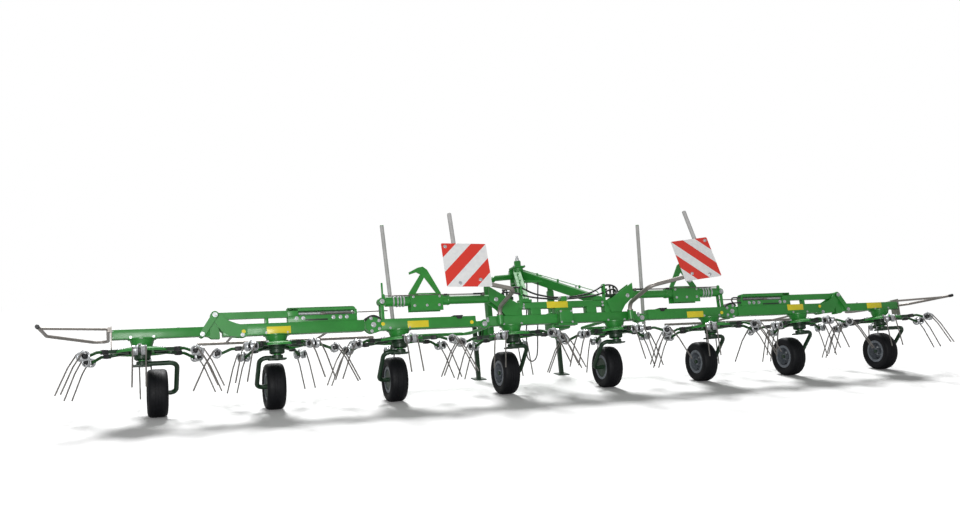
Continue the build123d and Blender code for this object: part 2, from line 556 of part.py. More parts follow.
def hoop(arm):
    """The guard tube round the outer rotor, on a plate at the end of the outer arm."""
    r = GUARD_TUBE / 2
    h = OUTER_BEAM_SIZE / 2
    ring = bent_tube([(HOOP_X + x, y, HOOP_Z) for x, y in HOOP_ROUTE], r, 60)
    start_x, start_y = HOOP_X, HOOP_ROUTE[0][1]
    brace_x, brace_y = HOOP_BRACE_END
    brace = rod_between((start_x, start_y - 30, HOOP_Z), (HOOP_X + brace_x, brace_y, HOOP_Z), GUARD_BRACE / 2)
    plate = block(start_x - GUARD_TUBE, start_x - GUARD_TUBE + 10, -h - 6, h + 30, -h - 70, HOOP_Z + r)
    stem = block(start_x - GUARD_TUBE + 9, start_x + 4, -h / 2, h + 10, HOOP_Z - 26, HOOP_Z + r - 2)
    return (ring + brace + plate + stem) - arm


def guard_rail(arm):
    """The front guard rail of the second arm on two outriggers."""
    r = GUARD_TUBE / 2
    rail = rod_between((RAIL_INNER_X, RAIL_Y, 0), (RAIL_OUTER_X, RAIL_Y, 0), r)
    for x in RAIL_SUPPORTS:
        rail += rod_between((x, BEAM_WIDTH / 2 + 4, 0), (x, RAIL_Y, 0), GUARD_BRACE / 2)
        rail += block(x - 40, x + 40, BEAM_WIDTH / 2, BEAM_WIDTH / 2 + 8, -34, 34)
    return rail - arm


def barrel_mouth():
    """Where the inner tube leaves the outer one."""
    return EYE_X - BARREL_LENGTH - EYE_RADIUS


def barrel():
    """The outer tube of the folding cylinder with its eye and the lock hook."""
    z = CYLINDER_Z
    mouth = barrel_mouth()
    end = EYE_X - EYE_RADIUS - 8
    tube = disc(((mouth + end) / 2, 0, z), "X", BARREL_RADIUS, end - mouth)
    body = tube + disc((EYE_X, 0, z), "Y", EYE_RADIUS, EYE_WIDTH)
    body += block(EYE_X - 50, EYE_X, -EYE_WIDTH / 2, EYE_WIDTH / 2, z - 24, z + 24)
    clamp = block(HOOK_INNER_X, HOOK_OUTER_X, -BARREL_RADIUS - 6, BARREL_RADIUS + 6, z - 96, z + 44)
    clamp -= block(HOOK_INNER_X - 5, HOOK_OUTER_X + 5, -BARREL_RADIUS, BARREL_RADIUS, z - 200, z - 10)
    hook = [
        (HOOK_INNER_X, z + 30), (HOOK_OUTER_X, z + 30), (HOOK_OUTER_X, z + 70),
        (HOOK_APEX_X + 38, HOOK_APEX_Z - 72),
        (HOOK_APEX_X + 75, HOOK_APEX_Z - 52), (HOOK_TIP_X, HOOK_TIP_Z - 12), (HOOK_TIP_X + 4, HOOK_TIP_Z + 8),
        (HOOK_APEX_X + 62, HOOK_APEX_Z - 10), (HOOK_APEX_X + 10, HOOK_APEX_Z),
        (HOOK_APEX_X - 30, HOOK_APEX_Z - 30),
        (HOOK_INNER_X, z + 70),
    ]
    window = [(HOOK_INNER_X + 45, z + 72), (HOOK_OUTER_X - 70, z + 72), (HOOK_APEX_X + 2, HOOK_APEX_Z - 100)]
    plate = side_plate(hook, -HOOK_PLATE / 2, HOOK_PLATE / 2) - side_plate(window, -HOOK_PLATE, HOOK_PLATE)
    body = body + clamp + plate
    body -= disc((mouth + BARREL_BORE / 2 - GAP, 0, z), "X", ROD_RADIUS + FIT, BARREL_BORE)
    return body - disc((EYE_X, 0, z), "Y", HINGE_PIN_RADIUS + FIT, 200)


def rod():
    """The inner tube of the folding cylinder with the eye at the centre frame."""
    z = CYLINDER_Z
    start = CYLINDER_X + EYE_RADIUS + 6
    end = barrel_mouth() + ROD_OVERLAP
    body = disc(((start + end) / 2, 0, z), "X", ROD_RADIUS, end - start)
    body += disc((CYLINDER_X, 0, z), "Y", EYE_RADIUS, EYE_WIDTH)
    body += block(CYLINDER_X, start + 10, -EYE_WIDTH / 2, EYE_WIDTH / 2, z - 22, z + 22)
    return body - disc((CYLINDER_X, 0, z), "Y", HINGE_PIN_RADIUS + FIT, 200)


def sign_place():
    """The middle of the sign's plate, leaning forward."""
    return Location((SIGN_X, SIGN_Y, SIGN_Z), (-SIGN_LEAN, 0, 0))


def sign_board():
    plate = Box(SIGN_SIDE, SIGN_PLATE, SIGN_SIDE)
    return sign_place() * fillet(plate.edges().filter_by(Axis.Y), 12)


def sign_post():
    """The swinging tube from the centre frame with the holder and pole behind the sign."""
    r = SIGN_TUBE / 2
    hold = sign_place() * Location((0, SIGN_PLATE / 2, 0))
    end = tuple((sign_place() * Pos(-60, 10 + r - 2, -145)).position)
    route = [
        (SIGN_PIVOT_X, SIGN_PIVOT_Y, SIGN_SOCKET_BOTTOM + 5), (SIGN_PIVOT_X, SIGN_PIVOT_Y, 110),
        (SIGN_PIVOT_X + 5, -515, 212), end,
    ]
    tube = bent_tube(route, r, 75)
    pole_r = POLE_RADIUS
    pole = hold * Pos(SIGN_POLE_OFFSET, pole_r + SEAT, (SIGN_POLE_TOP - SIGN_SIDE / 2 + 20) / 2)
    pole = pole * Cylinder(pole_r, SIGN_POLE_TOP + SIGN_SIDE / 2 - 20)
    bar = hold * block(-140, SIGN_POLE_OFFSET + 20, SEAT, 10, -165, -125)
    collar = disc((SIGN_PIVOT_X, SIGN_PIVOT_Y, SIGN_SOCKET_TOP + SEAT + 5), "Z", SIGN_SOCKET_RADIUS, 10)
    return tube + pole + bar + collar


def rotor():
    """A rotor round its own axis: disc, arms and pairs of tines with their coils."""
    profile = [
        (SHAFT_RADIUS + FIT, DISC_TOP), (DISC_FLAT_RADIUS, DISC_TOP), (DISC_RADIUS, DISC_TOP - DISC_SLOPE),
        (DISC_RADIUS, DISC_TOP - DISC_HEIGHT), (DISC_RADIUS - DISC_SHEET, DISC_TOP - DISC_HEIGHT),
        (DISC_RADIUS - DISC_SHEET, DISC_TOP - DISC_SLOPE - DISC_SHEET),
        (DISC_FLAT_RADIUS, DISC_TOP - DISC_SHEET), (HUB_RADIUS, DISC_TOP - DISC_SHEET),
        (HUB_RADIUS, HUB_BOTTOM), (SHAFT_RADIUS + FIT, HUB_BOTTOM),
    ]
    face = make_face(Polyline(*[(r, 0, z) for r, z in profile], close=True))
    body = revolve(face, Axis.Z)
    arm_z = DISC_TOP - DISC_SHEET - ARM_RADIUS
    parts = []
    for number in range(ARM_COUNT):
        spoke = rod_between((ARM_ROOT, 0, arm_z), (COIL_CENTRE_RADIUS - 12, 0, COIL_HEIGHT), ARM_RADIUS)
        for side in (-1, 1):
            y = side * (COIL_GAP / 2 + COIL_WIDTH / 2)
            coil = extrude(Plane(origin=(COIL_CENTRE_RADIUS, y - COIL_WIDTH / 2, COIL_HEIGHT), z_dir=(0, 1, 0))
                           * RegularPolygon(COIL_RADIUS, 6), COIL_WIDTH)
            points = [
                (COIL_CENTRE_RADIUS + COIL_RADIUS * 0.6, y, COIL_HEIGHT - COIL_RADIUS * 0.5),
                (TINE_KNEE_RADIUS, y * 1.02, COIL_HEIGHT - TINE_KNEE_DROP),
                (TINE_TIP_RADIUS, y * 1.05, COIL_HEIGHT - TINE_TIP_DROP),
            ]
            path = Polyline(*points)
            start = path.edges()[0]
            section = Plane(origin=start @ 0, z_dir=start % 0) * RegularPolygon(TINE_WIRE / 2, 5)
            tine = sweep(section, path=path, transition=Transition.RIGHT)
            spoke = spoke + coil + tine
        spoke += block(COIL_CENTRE_RADIUS - 16, COIL_CENTRE_RADIUS + 16, -COIL_GAP, COIL_GAP,
                       COIL_HEIGHT - 14, COIL_HEIGHT + 14)
        parts.append(Rot(0, 0, number * 360 / ARM_COUNT) * spoke)
    for part in parts:
        body += part
    return body - disc((0, 0, DISC_TOP), "Z", SHAFT_RADIUS + FIT, 400)


def tyre():
    """A small implement tyre round the X axis: bead seats, round sidewalls and a nearly flat tread."""
    outer = TYRE_DIAMETER / 2
    half = TYRE_WIDTH / 2
    bead = RIM_WIDTH / 2 - RIM_SHEET - SEAT
    right = [
        (bead, RIM_RADIUS), (bead, RIM_FLANGE_RADIUS + GAP), (half - 6, RIM_FLANGE_RADIUS + 14),
        (half, (outer + RIM_FLANGE_RADIUS) / 2), (half - 3, outer - TYRE_SHOULDER),
        (half - TYRE_SHOULDER * 0.55, outer - TYRE_SHOULDER * 0.32), (half - TYRE_SHOULDER * 1.7, outer),
    ]
    outline = right + [(-x, r) for x, r in reversed(right)]
    face = make_face(Polyline(*[(x, 0, r) for x, r in outline], close=True))
    return revolve(face, Axis.X)


def rim():
    """A pressed steel rim with its bead flanges, a dished disc and the hub."""
    half = RIM_WIDTH / 2
    seat = RIM_RADIUS - SEAT
    base = seat - RIM_SHEET
    side = [(half, RIM_FLANGE_RADIUS), (half - RIM_SHEET, RIM_FLANGE_RADIUS), (half - RIM_SHEET, seat)]
    inner = [(half, base), (half - 24, base), (half - 30, base - 12)]
    hub = [
        (14, base - 16), (4, WHEEL_HUB_RADIUS + 16), (2, WHEEL_HUB_RADIUS), (HUB_LENGTH / 2, WHEEL_HUB_RADIUS),
        (HUB_LENGTH / 2, AXLE_RADIUS + FIT), (-HUB_LENGTH / 2, AXLE_RADIUS + FIT),
        (-HUB_LENGTH / 2, WHEEL_HUB_RADIUS), (-4, WHEEL_HUB_RADIUS), (-2, WHEEL_HUB_RADIUS + 16),
        (8, base - 10),
    ]
    far = [(-x, r) for x, r in reversed(inner[:2])]
    outline = [(-x, r) for x, r in side] + list(reversed(side)) + inner + hub + [(half - 34, base - 6)] + far
    face = make_face(Polyline(*[(x, 0, r) for x, r in outline], close=True))
    return revolve(face, Axis.X)


def carrier(rotor_x, wheel_x, side):
    """The bent tube from the fixed shaft's foot to the axle of one wheel, with its guard disc."""
    axle_y, axle_z = level_point(AXLE_FORWARD, TYRE_DIAMETER / 2)
    out_x = wheel_x + side * CARRIER_OUT
    top_z = SHAFT_BOTTOM - SEAT - CARRIER_HEAD / 2
    r = CARRIER_TUBE_RADIUS
    head = disc((rotor_x, 0, top_z), "Z", CARRIER_HEAD_RADIUS, CARRIER_HEAD)
    foot_z = top_z - CARRIER_HEAD / 2
    head += block(rotor_x - CARRIER_FOOT, rotor_x + CARRIER_FOOT, -CARRIER_HEAD_RADIUS, CARRIER_HEAD_RADIUS,
                  foot_z, foot_z + CARRIER_FOOT_PLATE)
    route = [(rotor_x + side * 10, 0, top_z), (out_x, 0, top_z), (out_x, axle_y, axle_z)]
    tube = bent_tube(route, r, 60)
    knee = disc((out_x - side * 6, axle_y, axle_z), "X", r + 5, 62)
    length = side * (HUB_LENGTH / 2 + 14)
    axle = rod_between((out_x, axle_y, axle_z), (wheel_x - length, axle_y, axle_z), AXLE_RADIUS)
    nut = disc((wheel_x - side * (HUB_LENGTH / 2 + 11), axle_y, axle_z), "X", AXLE_RADIUS + 8, 12)
    guard_x = wheel_x + side * (HUB_LENGTH / 2 + GAP + GUARD_DISC / 2)
    guard = disc((guard_x, axle_y, axle_z), "X", GUARD_DISC_RADIUS, GUARD_DISC)
    return head + tube + knee + axle + nut + guard


def wheel_place(x):
    axle_y, axle_z = level_point(AXLE_FORWARD, TYRE_DIAMETER / 2)
    return Pos(x, axle_y, axle_z)


def cord_radii(points):
    """The largest arc that each corner of a cord's route allows."""
    radii = []
    for before, corner, after in zip(points, points[1:], points[2:]):
        first, second = Vector(*corner) - Vector(*before), Vector(*after) - Vector(*corner)
        turn = math.radians(first.get_angle(second))
        radii.append(0.45 * min(first.length, second.length) / math.tan(turn / 2))
    return radii


def cord(points, diameter, name):
    radii = cord_radii(points)
    path = FilletPolyline(*points, radius=radii)
    start = path.edges()[0]
    tube = sweep(Plane(origin=start @ 0, z_dir=start % 0) * Circle(diameter / 2), path=path)
    print(name, "radii", [round(r) for r in radii], "length", round(path.length),
          "volume over section", round(tube.volume / (math.pi * diameter ** 2 / 4 * path.length), 4))
    return tube


def build():
    """Every node in the level frame or, for the stands, in its place over the ground."""
    level, placed = {}, {}
    frame = centre_frame()
    level["centre_frame"] = frame
    level["yoke"] = yoke(frame)
    level["gearbox"] = gearbox(frame)
    level["front_guards"] = front_guard(frame)
    level["headstock"] = headstock()
    arms = {"a": both_sides(arm_a), "b": both_sides(arm_b), "c": both_sides(arm_c)}
    for letter, pair in arms.items():
        for side, solid in pair.items():
            level[f"arm_{letter}_{side}"] = solid
    pieces = [
        ("fold_bar", fold_bar), ("barrel", barrel), ("rod", rod), ("sign_board", sign_board),
        ("sign_post", sign_post), ("hoop", lambda: hoop(arms["c"]["right"])),
        ("guard_rail", lambda: guard_rail(arms["b"]["right"])),
    ]
    for name, make in pieces:
        for side, solid in both_sides(make).items():
            level[f"{name}_{side}"] = solid
    for side, solid in both_sides(stand).items():
        placed[f"stand_{side}"] = solid
    one_rotor, one_tyre, one_rim = rotor(), tyre(), rim()
    inner_carriers = []
    for number, (offset, side) in enumerate(WHEELS, start=1):
        phase = ROTOR_PHASE_ODD if number % 2 else ROTOR_PHASE_EVEN
        rotor_x = ROTOR_X[number - 1]
        level[f"rotor_{number}"] = Pos(rotor_x, 0, 0) * Rot(0, 0, phase) * one_rotor
        level[f"tyre_{number}"] = wheel_place(rotor_x + offset) * one_tyre
        level[f"rim_{number}"] = wheel_place(rotor_x + offset) * one_rim
        if number in (4, 5):
            inner_carriers.append(carrier(rotor_x, rotor_x + offset, side))
        else:
            level[f"carrier_{number}"] = carrier(rotor_x, rotor_x + offset, side)
    level["carriers_4_5"] = inner_carriers
    level["rope"] = cord(ROPE_ROUTE, ROPE_DIAMETER, "rope")
    right_hoses = [
        cord(route, HOSE_DIAMETER, f"hose {count}") for count, route in enumerate(HOSE_ROUTES, start=1)
    ]
    level["hoses"] = right_hoses + [mirror(hose, Plane.YZ) for hose in right_hoses]
    return level, placed


def solids_of(shape):
    """The plain solids of a piece, without their history."""
    shapes = shape if isinstance(shape, list) else [shape]
    return [Solid(solid.wrapped) for item in shapes for solid in item.solids()]


CORDS = ("rope", "hoses")
LEVEL, PLACED = build()
NODES = {name: [TILT * solid for solid in solids_of(shape)] for name, shape in LEVEL.items()}
NODES.update({name: solids_of(shape) for name, shape in PLACED.items()})
BOXES = [solid.bounding_box() for name, group in NODES.items() if name not in CORDS for solid in group]
FORWARD_SHIFT = -(min(box.min.Y for box in BOXES) + max(box.max.Y for box in BOXES)) / 2

os.makedirs("parts", exist_ok=True)
for name, group in NODES.items():
    moved = [Pos(0, FORWARD_SHIFT, 0) * solid for solid in group]
    export_step(moved[0] if len(moved) == 1 else Compound(children=moved), f"parts/{name}.step")
print("nodes", len(NODES), "forward shift", round(FORWARD_SHIFT, 3))
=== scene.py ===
"""Finishes and visual pieces of an eight-rotor mounted hay tedder.

Shapes are drawn in millimetres in the machine's own frame, X across, Y forward and Z at right angles
to the beams, with its origin in the middle of the beams over the rotors. MACHINE takes them to the
model's frame in metres. Numbers give the right-hand side and the left is its mirror image, but for
the warning boards, the rotors' turns and the plates, which have their own values. A few pieces are
on one side only.
"""

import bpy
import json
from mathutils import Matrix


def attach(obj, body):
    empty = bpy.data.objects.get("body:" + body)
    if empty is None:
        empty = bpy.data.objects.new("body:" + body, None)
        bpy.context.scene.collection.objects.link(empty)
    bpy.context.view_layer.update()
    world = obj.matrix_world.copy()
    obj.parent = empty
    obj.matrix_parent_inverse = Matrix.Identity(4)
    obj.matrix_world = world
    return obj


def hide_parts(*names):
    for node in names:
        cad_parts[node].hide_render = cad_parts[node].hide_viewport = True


bl_info = {
    "name": "Hay tedder finishes",
    "version": (1, 0, 0),
    "blender": (4, 5, 0),
    "location": "View3D > Sidebar > Tedder",
    "description": "Paint, beams, rotors, tyres, signs, hoses and fittings of a hay tedder",
    "category": "Object",
}

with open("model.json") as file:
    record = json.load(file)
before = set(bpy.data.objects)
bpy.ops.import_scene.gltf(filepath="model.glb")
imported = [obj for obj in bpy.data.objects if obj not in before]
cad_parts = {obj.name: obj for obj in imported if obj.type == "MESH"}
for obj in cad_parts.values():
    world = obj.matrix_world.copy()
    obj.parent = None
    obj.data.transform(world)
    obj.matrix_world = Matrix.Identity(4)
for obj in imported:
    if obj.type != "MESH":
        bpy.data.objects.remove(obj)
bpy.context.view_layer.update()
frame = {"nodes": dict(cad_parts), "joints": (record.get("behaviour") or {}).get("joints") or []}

import json
import math

import bmesh
import bpy
from bpy.props import FloatProperty, FloatVectorProperty, IntProperty, PointerProperty
from mathutils import Euler, Matrix, Vector

MM = 0.001
SHARP, SHARP_FINE = 38, 30        # degrees between two faces from which their edge stays sharp
SIDES = {"right": 1, "left": -1}
SPINS = {joint["child"]: joint for joint in frame["joints"] if joint["name"].endswith("_spin")}
REARWARDS, FORWARDS = (0, -1, 0), (0, 1, 0)
FACES = ((-1, REARWARDS), (1, FORWARDS))         # of the beams: the rear one and the front one

# Each kind of surface: its slot in the record and its finish
# The dark green of the second is partly painted shade of the parts under the machine
GREEN, DARK_AND_SHADE = ("green_paint", "green enamel"), ("dark_paint", "dark enamel")
PLATED, ZINC = ("galvanised", "plated steel"), ("galvanised", "hot-dip zinc")
WIRE, PLASTIC = ("galvanised", "spring wire"), ("galvanised", "grey plastic tube")
RUBBER, YELLOW = ("hose_rubber", "black rubber"), ("sign_white", "yellow film")

ROTOR_COUNT = 8
ROTOR_JOINT_DROP = 150 * MM       # the rotors' joints lie this far under the middle of the beams
BEAM_HALF = 50                    # half the width of the square beams
INNER_ROTOR, MIDDLE_ROTOR, OUTER_ROTOR = 1650, 2750, 3850            # X of the drive pots on the arms
HINGE_A, HINGE_B, HINGE_C = (835, -30), (1895, 0), (3265, 135)       # X and Z of the arms' pins
CYLINDER_Z = 210                  # of the folding cylinders' axis
EYE_X = 1800                      # of the pin that holds a cylinder's eye on arm A

# Each board as it stands: distance from the middle, height, lean to the front and roll outwards in degrees
SIGNS = {"right": (1236, 464, 14.0, -6.6), "left": (1137, 441, 15.0, -1.5)}
SIGN_Y = -517                     # of the boards' middles
SIGN_SIDE = 423                   # length of a board's edge
STRIPE_PAIRS = 1.5                # red and white pairs along one edge, counted from a corner
SOCKET = (690, -92)               # X and Y of the socket that a board's tube stands in
SIGN_TUBE = [(*SOCKET, -40), (*SOCKET, 110), (695, -515, 212)]       # the rest of it runs to the board
POLE_RADIUS = 19.8
REAR_POLE = (85, 19, -191, 525)          # across, behind, bottom and top, from the middle of the sign
FRONT_POLE = (1424, 940, 3, 1145)        # X, Y, lean in degrees and top

ROPE_ROUTE = [
    (-62, 650, 466), (-62, 650, 436), (-63, 671, 375), (-61, 701, 250), (-64, 738, 100), (-61, 776, -60),
    (-63, 809, -195), (-57, 828, -276), (-32, 839, -318), (2, 842, -330), (34, 839, -317), (58, 828, -274),
    (64, 809, -195), (62, 776, -60), (65, 738, 100), (62, 701, 250), (63, 671, 375), (62, 650, 436),
    (62, 650, 466),
]
HOSE_ROUTES = [
    [
        (30, -50, 198), (90, -50, 198), (150, -54, 204), (220, -60, 216), (285, -61, 230), (350, -60, 254),
        (410, -60, 288), (470, -60, 306), (530, -46, 306), (580, -28, 294), (608, -18, 272), (615, -17, 250),
        (615, -17, 205),
    ],
    [
        (30, -20, 186), (95, -20, 186), (165, -34, 190), (240, -50, 194), (315, -57, 202), (385, -57, 216),
        (450, -60, 236), (500, -46, 254), (555, -14, 268), (598, 11, 270), (615, 17, 250), (615, 17, 205),
    ],
]
ROPE_LENGTH, HOSE_LENGTHS = 1.69, (0.68, 0.67)      # metres


def machine_frame():
    """The matrix from millimetres in the machine's frame to the model's frame, from a rotor's joint."""
    spin = SPINS["rotor_4"]
    up = Vector(spin["axis"])
    across = Vector((1, 0, 0))
    origin = Vector(spin["pos_m"]) + up * ROTOR_JOINT_DROP
    origin.x = 0
    matrix = Matrix((across, up.cross(across), up)).transposed().to_4x4()
    return Matrix.Translation(origin) @ matrix @ Matrix.Scale(MM, 4)


MACHINE = machine_frame()


def sign_frame(side, sign=1):
    """The middle and turn of a warning board, as on the right-hand side or where the sign says."""
    x, z, lean, roll = SIGNS[side]
    turn = Matrix.Rotation(math.radians(-lean), 4, "X") @ Matrix.Rotation(math.radians(sign * roll), 4, "Y")
    return Matrix.Translation((sign * x, SIGN_Y, z)) @ turn


def linear(code):
    """An sRGB hex colour as linear red, green and blue."""
    values = [int(code[k:k + 2], 16) / 255 for k in (0, 2, 4)]
    return tuple(v / 12.92 if v <= 0.04045 else ((v + 0.055) / 1.055) ** 2.4 for v in values)


# Settings that a user would change


def colour_setting(name, description, code):
    """A colour whose default is an sRGB hex code."""
    return FloatVectorProperty(name=name, description=description, subtype="COLOR", size=3, min=0, max=1,
                               default=linear(code))


def length_setting(name, description, default):
    """A length in metres."""
    return FloatProperty(name=name, description=description, unit="LENGTH", default=default)


class TedderPaints(bpy.types.PropertyGroup):
    """Colours of the finishes."""

    green: colour_setting("Frame green", "Enamel of the beams and plates", "2F8E37")
    # Partly painted shade: as dark as the rotors, wheel carriers and stands look in the shade under the machine
    dark_green_and_shade: colour_setting("Rotor green", "Enamel of rotors and wheel carriers", "16381F")
    zinc: colour_setting("Zinc", "Hot-dip galvanised tubes", "96918C")
    spring: colour_setting("Spring steel", "Tines and their coils", "7F7B77")
    red: colour_setting("Sign red", "Red stripes of the warning boards", "E2382A")
    yellow: colour_setting("Plate yellow", "Blank plates on the beams", "EBD92E")


class TedderRotors(bpy.types.PropertyGroup):
    """Sizes of the rotors."""

    arm_count: IntProperty(name="Arms", description="Tine arms on a rotor", default=6, min=4, max=8)
    coil_radius: length_setting("Coil radius", "Outer radius of a spring coil", 0.040)
    wire: length_setting("Wire", "Diameter of the tine wire", 0.0122)
    turns: FloatProperty(name="Turns", description="Turns in each coil", default=3.1, min=2, max=6)
    coil_reach: length_setting("Coil reach", "Rotor axis to the middle of the coils", 0.502)
    tip_reach: length_setting("Tip reach", "Rotor axis to the tine tips", 0.702)
    tip_drop: length_setting("Tip drop", "Coils to the tine tips", 0.300)
    turns_at_rest: FloatVectorProperty(
        name="Rotors' turns", description="Angle of each rotor's first arm, from the left", size=ROTOR_COUNT,
        default=[math.radians(angle) for angle in (26, -3, 25, -3, 26, -3, 26, -3)])


class TedderTyres(bpy.types.PropertyGroup):
    """Sizes of the tyres."""

    diameter: length_setting("Diameter", "Over the tread", 0.405)
    width: length_setting("Width", "Over the sidewalls", 0.165)
    groove: length_setting("Groove depth", "Depth of the grooves round the tread", 0.003)
    grooves: IntProperty(name="Grooves", description="Grooves round the tread", default=3, min=0, max=5)


class TedderCords(bpy.types.PropertyGroup):
    """Diameters of the rope and hoses."""

    rope: length_setting("Rope", "Diameter of the rope loop", 0.013)
    hose: length_setting("Hoses", "Diameter of the hydraulic hoses", 0.017)


class TedderStage(bpy.types.PropertyGroup):
    """Light and camera."""

    key: FloatProperty(name="Key light", description="Strength of the soft light from above the far side",
                       default=4.1, min=0)
    front: FloatProperty(name="Front light", description="Power of the soft light behind the camera", default=820,
                         min=0)
    fill: FloatProperty(name="Sky", description="Strength of the even light from all sides", default=0.2, min=0)
    lens: FloatProperty(name="Focal length", description="Of the camera, on a 36 mm sensor", default=36.92)


# Node trees and finishes

PATCH_SHARE = 0.37                # size of the patches of roughness beside that of the spots of colour
RELIEF_STRENGTH = 0.6
COAT_ROUGHNESS = 0.1


def add_node(tree, kind, inputs=None, **settings):
    """Adds a node: settings are its own properties, inputs are linked sockets or plain values."""
    node = tree.nodes.new(kind)
    for name, value in settings.items():
        setattr(node, name, value)
    for name, value in (inputs or {}).items():
        if isinstance(value, bpy.types.NodeSocket):
            tree.links.new(value, node.inputs[name])
        else:
            node.inputs[name].default_value = value
    return node


def cloud(tree, place, size_mm, detail=3.0):
    """Soft random spots about size_mm across, from 0 to 1."""
    noise = add_node(tree, "ShaderNodeTexNoise", {"Vector": place, "Scale": 1 / (size_mm * MM), "Detail": detail})
    return noise.outputs[0]


def spread(tree, value, low, high, start=0.3, end=0.7):
    """Takes a value from start to end to low to high."""
    node = add_node(tree, "ShaderNodeMapRange", {"Value": value, "From Min": start, "From Max": end,
                                                 "To Min": low, "To Max": high})
    return node.outputs[0]


def blend_colours(tree, factor, first, second):
    """A mix of two colours, each a colour or a socket."""
    mix = add_node(tree, "ShaderNodeMix", data_type="RGBA")
    tree.links.new(factor, mix.inputs[0])
    for socket, value in ((mix.inputs[6], first), (mix.inputs[7], second)):
        if isinstance(value, bpy.types.NodeSocket):
            tree.links.new(value, socket)
        else:
            socket.default_value = (*value, 1)
    return mix.outputs[2]


def surface(material):
    """The node tree of a material, its shader and its Object coordinates."""
    tree = material.node_tree
    return tree, tree.nodes["Principled BSDF"], add_node(tree, "ShaderNodeTexCoord").outputs["Object"]


def finish(name, colour, second, spot_mm, rough, relief, metallic=0.0, coat=0.0, shine=0.5):
    """A surface with cloudy colour, uneven roughness and a fine relief; relief is its size and height in mm."""
    material = bpy.data.materials.new(name)
    material.use_nodes = True
    tree, shader, place = surface(material)
    spots = cloud(tree, place, spot_mm)
    tree.links.new(blend_colours(tree, spread(tree, spots, 0, 1), colour, second), shader.inputs["Base Color"])
    patches = cloud(tree, place, spot_mm * PATCH_SHARE, 5.0)
    tree.links.new(spread(tree, patches, *rough), shader.inputs["Roughness"])
    size, height = relief
    bump = add_node(tree, "ShaderNodeBump", {"Height": cloud(tree, place, size), "Strength": RELIEF_STRENGTH,
                                             "Distance": height * MM})
    tree.links.new(bump.outputs[0], shader.inputs["Normal"])
    shader.inputs["Metallic"].default_value = metallic
    shader.inputs["Specular IOR Level"].default_value = shine
    shader.inputs["Coat Weight"].default_value = coat
    shader.inputs["Coat Roughness"].default_value = COAT_ROUGHNESS
    return material


def shade(colour, factor):
    """A lighter or darker tone of a colour."""
    return tuple(min(1, value * factor) for value in colour)


def zinc_coat(paints):
    """Hot-dip galvanised steel: grey spangle about 12 mm across that dulls unevenly."""
    material = finish("hot-dip zinc", paints.zinc, shade(paints.zinc, 0.8), 120, (0.36, 0.55), (2.5, 0.03),
                      metallic=0.55)
    tree, shader, place = surface(material)
    spangle = add_node(tree, "ShaderNodeTexVoronoi", {"Vector": place, "Scale": 1 / (12 * MM)})
    old = shader.inputs["Base Color"].links[0].from_socket
    grain = blend_colours(tree, spread(tree, spangle.outputs["Distance"], 0, 0.35, 0.1, 0.6), old,
                          shade(paints.zinc, 1.25))
    tree.links.new(grain, shader.inputs["Base Color"])


def plain_finishes(paints):
    """The finishes that differ only in colours, size of the spots, roughness and relief."""
    green, dark, spring, yellow = paints.green, paints.dark_green_and_shade, paints.spring, paints.yellow
    # Sprayed agricultural enamel: glossy, with the faint ripple of a thick coat
    finish("green enamel", green, shade(green, 0.82), 160, (0.28, 0.42), (7, 0.05), coat=0.18)
    # The frame green darkened to painted shade, as dark as the rotor arms look under the discs; a thinner, duller
    # coat
    finish("arm enamel", shade(green, 0.3), shade(green, 0.16), 50, (0.4, 0.6), (4, 0.06), shine=0.35)
    # Dark green on parts under the machine, partly their own darker paint and partly painted shade of the beams and
    # discs above them; dulled by grease and dust
    finish("dark enamel", dark, shade(dark, 0.55), 60, (0.38, 0.6), (4, 0.06), coat=0.15)
    # Oil-hardened wire with a thin grey coat that wears bright
    finish("spring wire", spring, shade(spring, 0.6), 45, (0.32, 0.5), (2, 0.03), metallic=0.4)
    # Vulcanised rubber, nearly black, with a little painted blue that stands for the sky's reflection
    finish("tread rubber", linear("0B0C0F"), linear("121317"), 35, (0.52, 0.68), (2.2, 0.1), shine=0.22)
    # Silver wheel lacquer with fine flake
    finish("silver lacquer", linear("868C93"), linear("666C73"), 20, (0.34, 0.5), (1.5, 0.02), metallic=0.45)
    # Extruded light-grey plastic tube, satin
    finish("grey plastic tube", linear("C4C3C2"), linear("B5B4B3"), 70, (0.42, 0.52), (3, 0.02))
    # Moulded black rubber and plastic of caps, pads and hoses
    finish("black rubber", linear("141517"), linear("1F2022"), 25, (0.42, 0.6), (2, 0.05))
    # Zinc-plated bolts and rods, bright with a cool grey tone
    finish("plated steel", linear("D4D6D8"), linear("AFB2B5"), 14, (0.24, 0.4), (1.2, 0.02), metallic=0.6)
    # Yellow film on the blank plates, smooth and slightly glossy
    finish("yellow film", yellow, shade(yellow, 0.9), 50, (0.28, 0.36), (9, 0.01), coat=0.2)
    # Black polypropylene rope with the ripple of its braid, 6 mm long
    finish("braided rope", linear("2B2B2C"), linear("3B3A39"), 9, (0.6, 0.8), (6, 0.8))
    # Clear white lens over a bright reflector
    lens = finish("lamp lens", linear("F1F2F2"), linear("DADDDE"), 8, (0.08, 0.16), (4, 0.1), coat=0.6)
    lens.node_tree.nodes["Principled BSDF"].inputs["Transmission Weight"].default_value = 0.25


